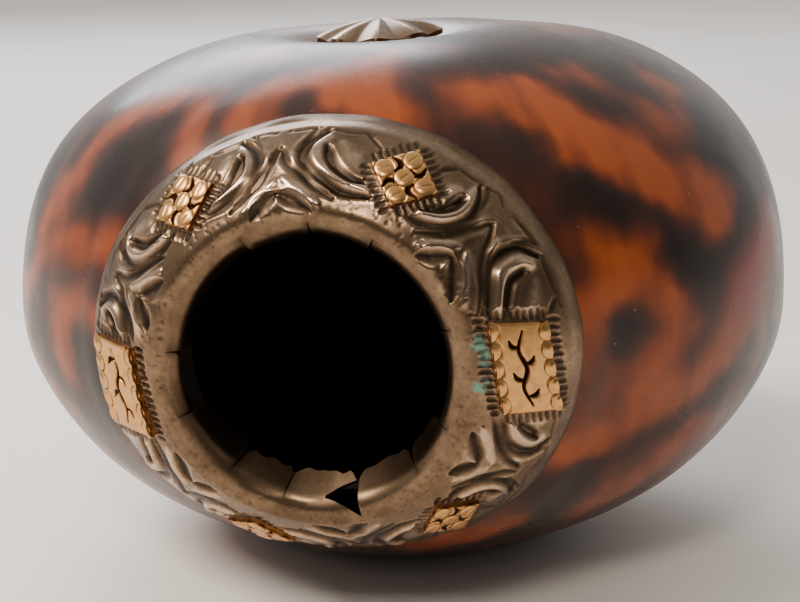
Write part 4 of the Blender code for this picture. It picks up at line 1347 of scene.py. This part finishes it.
# Studio light
# A large soft light high on the left, a window behind, a weaker light in front for the mouth, and a
# room that is pale behind and to the left and dim in front, which the metal needs to look like metal.
WALL_HEADING = (-0.38, 0.86, 0.34)
world = bpy.data.worlds.new("pale_room")
bpy.context.scene.world = world
world.use_nodes = True
world.node_tree.nodes.clear()
heading = add_node(world.node_tree, "TexCoord", out="Generated")
towards_wall = add_node(world.node_tree, "VectorMath", (heading, WALL_HEADING), operation="DOT_PRODUCT")
glow = add_node(world.node_tree, "MapRange", (towards_wall, -0.7, 0.75, 0.1, 0.95))
room = add_node(world.node_tree, "Background", {"Color": linear("#f4f1ed"), "Strength": glow})
add_node(world.node_tree, "OutputWorld", {"Surface": room})


def soft_light(name, place, target, width, power, code):
    """A square soft light turned towards a point."""
    lamp = bpy.data.lights.new(name, "AREA")
    lamp.size = width
    lamp.energy = power
    lamp.color = linear(code)[:3]
    light = place_object(name, lamp)
    light.location = place
    light.rotation_euler = (Vector(target) - Vector(place)).to_track_quat("-Z", "Y").to_euler()


soft_light("high_left", (-0.5, -0.35, 0.7), (0.0, 0.0, 0.04), 0.35, 9.0, "#fff4e8")
soft_light("window_behind", (-0.4, 0.7, 0.55), (0.0, 0.1, 0.03), 0.5, 5.6, "#f4f6ff")
soft_light("over_camera", (0.02, -0.55, 0.5), (0.0, -0.04, 0.03), 0.16, 2.0, "#fff4e6")

# Camera
# At the photograph's angle: a little to the right of the mouth's axis and a little above it.
CAMERA_DISTANCE = 0.29993
CAMERA_AZIMUTH = radians(13.48)
CAMERA_ELEVATION = radians(12.82)
CAMERA_ROLL = radians(-0.66)
FRAME_WIDTH = 800.0
FRAME_HEIGHT = 602.0
FOCAL = 1869.86
GOURD_PLACE = (403.99, 291.61)
SENSOR = 36.0
level_back = Vector((sin(CAMERA_AZIMUTH), -cos(CAMERA_AZIMUTH), 0.0)) * cos(CAMERA_ELEVATION)
backward = level_back + Vector((0.0, 0.0, sin(CAMERA_ELEVATION)))
forward = -backward
rightward = forward.cross(Vector((0.0, 0.0, 1.0))).normalized()
upward = rightward.cross(forward)
shift_right = (GOURD_PLACE[0] - FRAME_WIDTH / 2) / FOCAL
shift_up = -(GOURD_PLACE[1] - FRAME_HEIGHT / 2) / FOCAL
forward = (forward - shift_right * rightward - shift_up * upward).normalized()
rightward = forward.cross(Vector((0.0, 0.0, 1.0))).normalized()
upward = rightward.cross(forward)
tilted_right = cos(CAMERA_ROLL) * rightward + sin(CAMERA_ROLL) * upward
tilted_up = -sin(CAMERA_ROLL) * rightward + cos(CAMERA_ROLL) * upward
lens = bpy.data.cameras.new("camera")
lens.sensor_width = SENSOR
lens.sensor_fit = "HORIZONTAL"
lens.lens = SENSOR * FOCAL / FRAME_WIDTH
lens.clip_start = 0.01
camera = place_object("camera", lens)
turned = Matrix((tilted_right, tilted_up, -forward)).transposed().to_4x4()
camera.matrix_world = Matrix.Translation(Vector(WAIST) + backward * CAMERA_DISTANCE) @ turned
bpy.context.scene.camera = camera
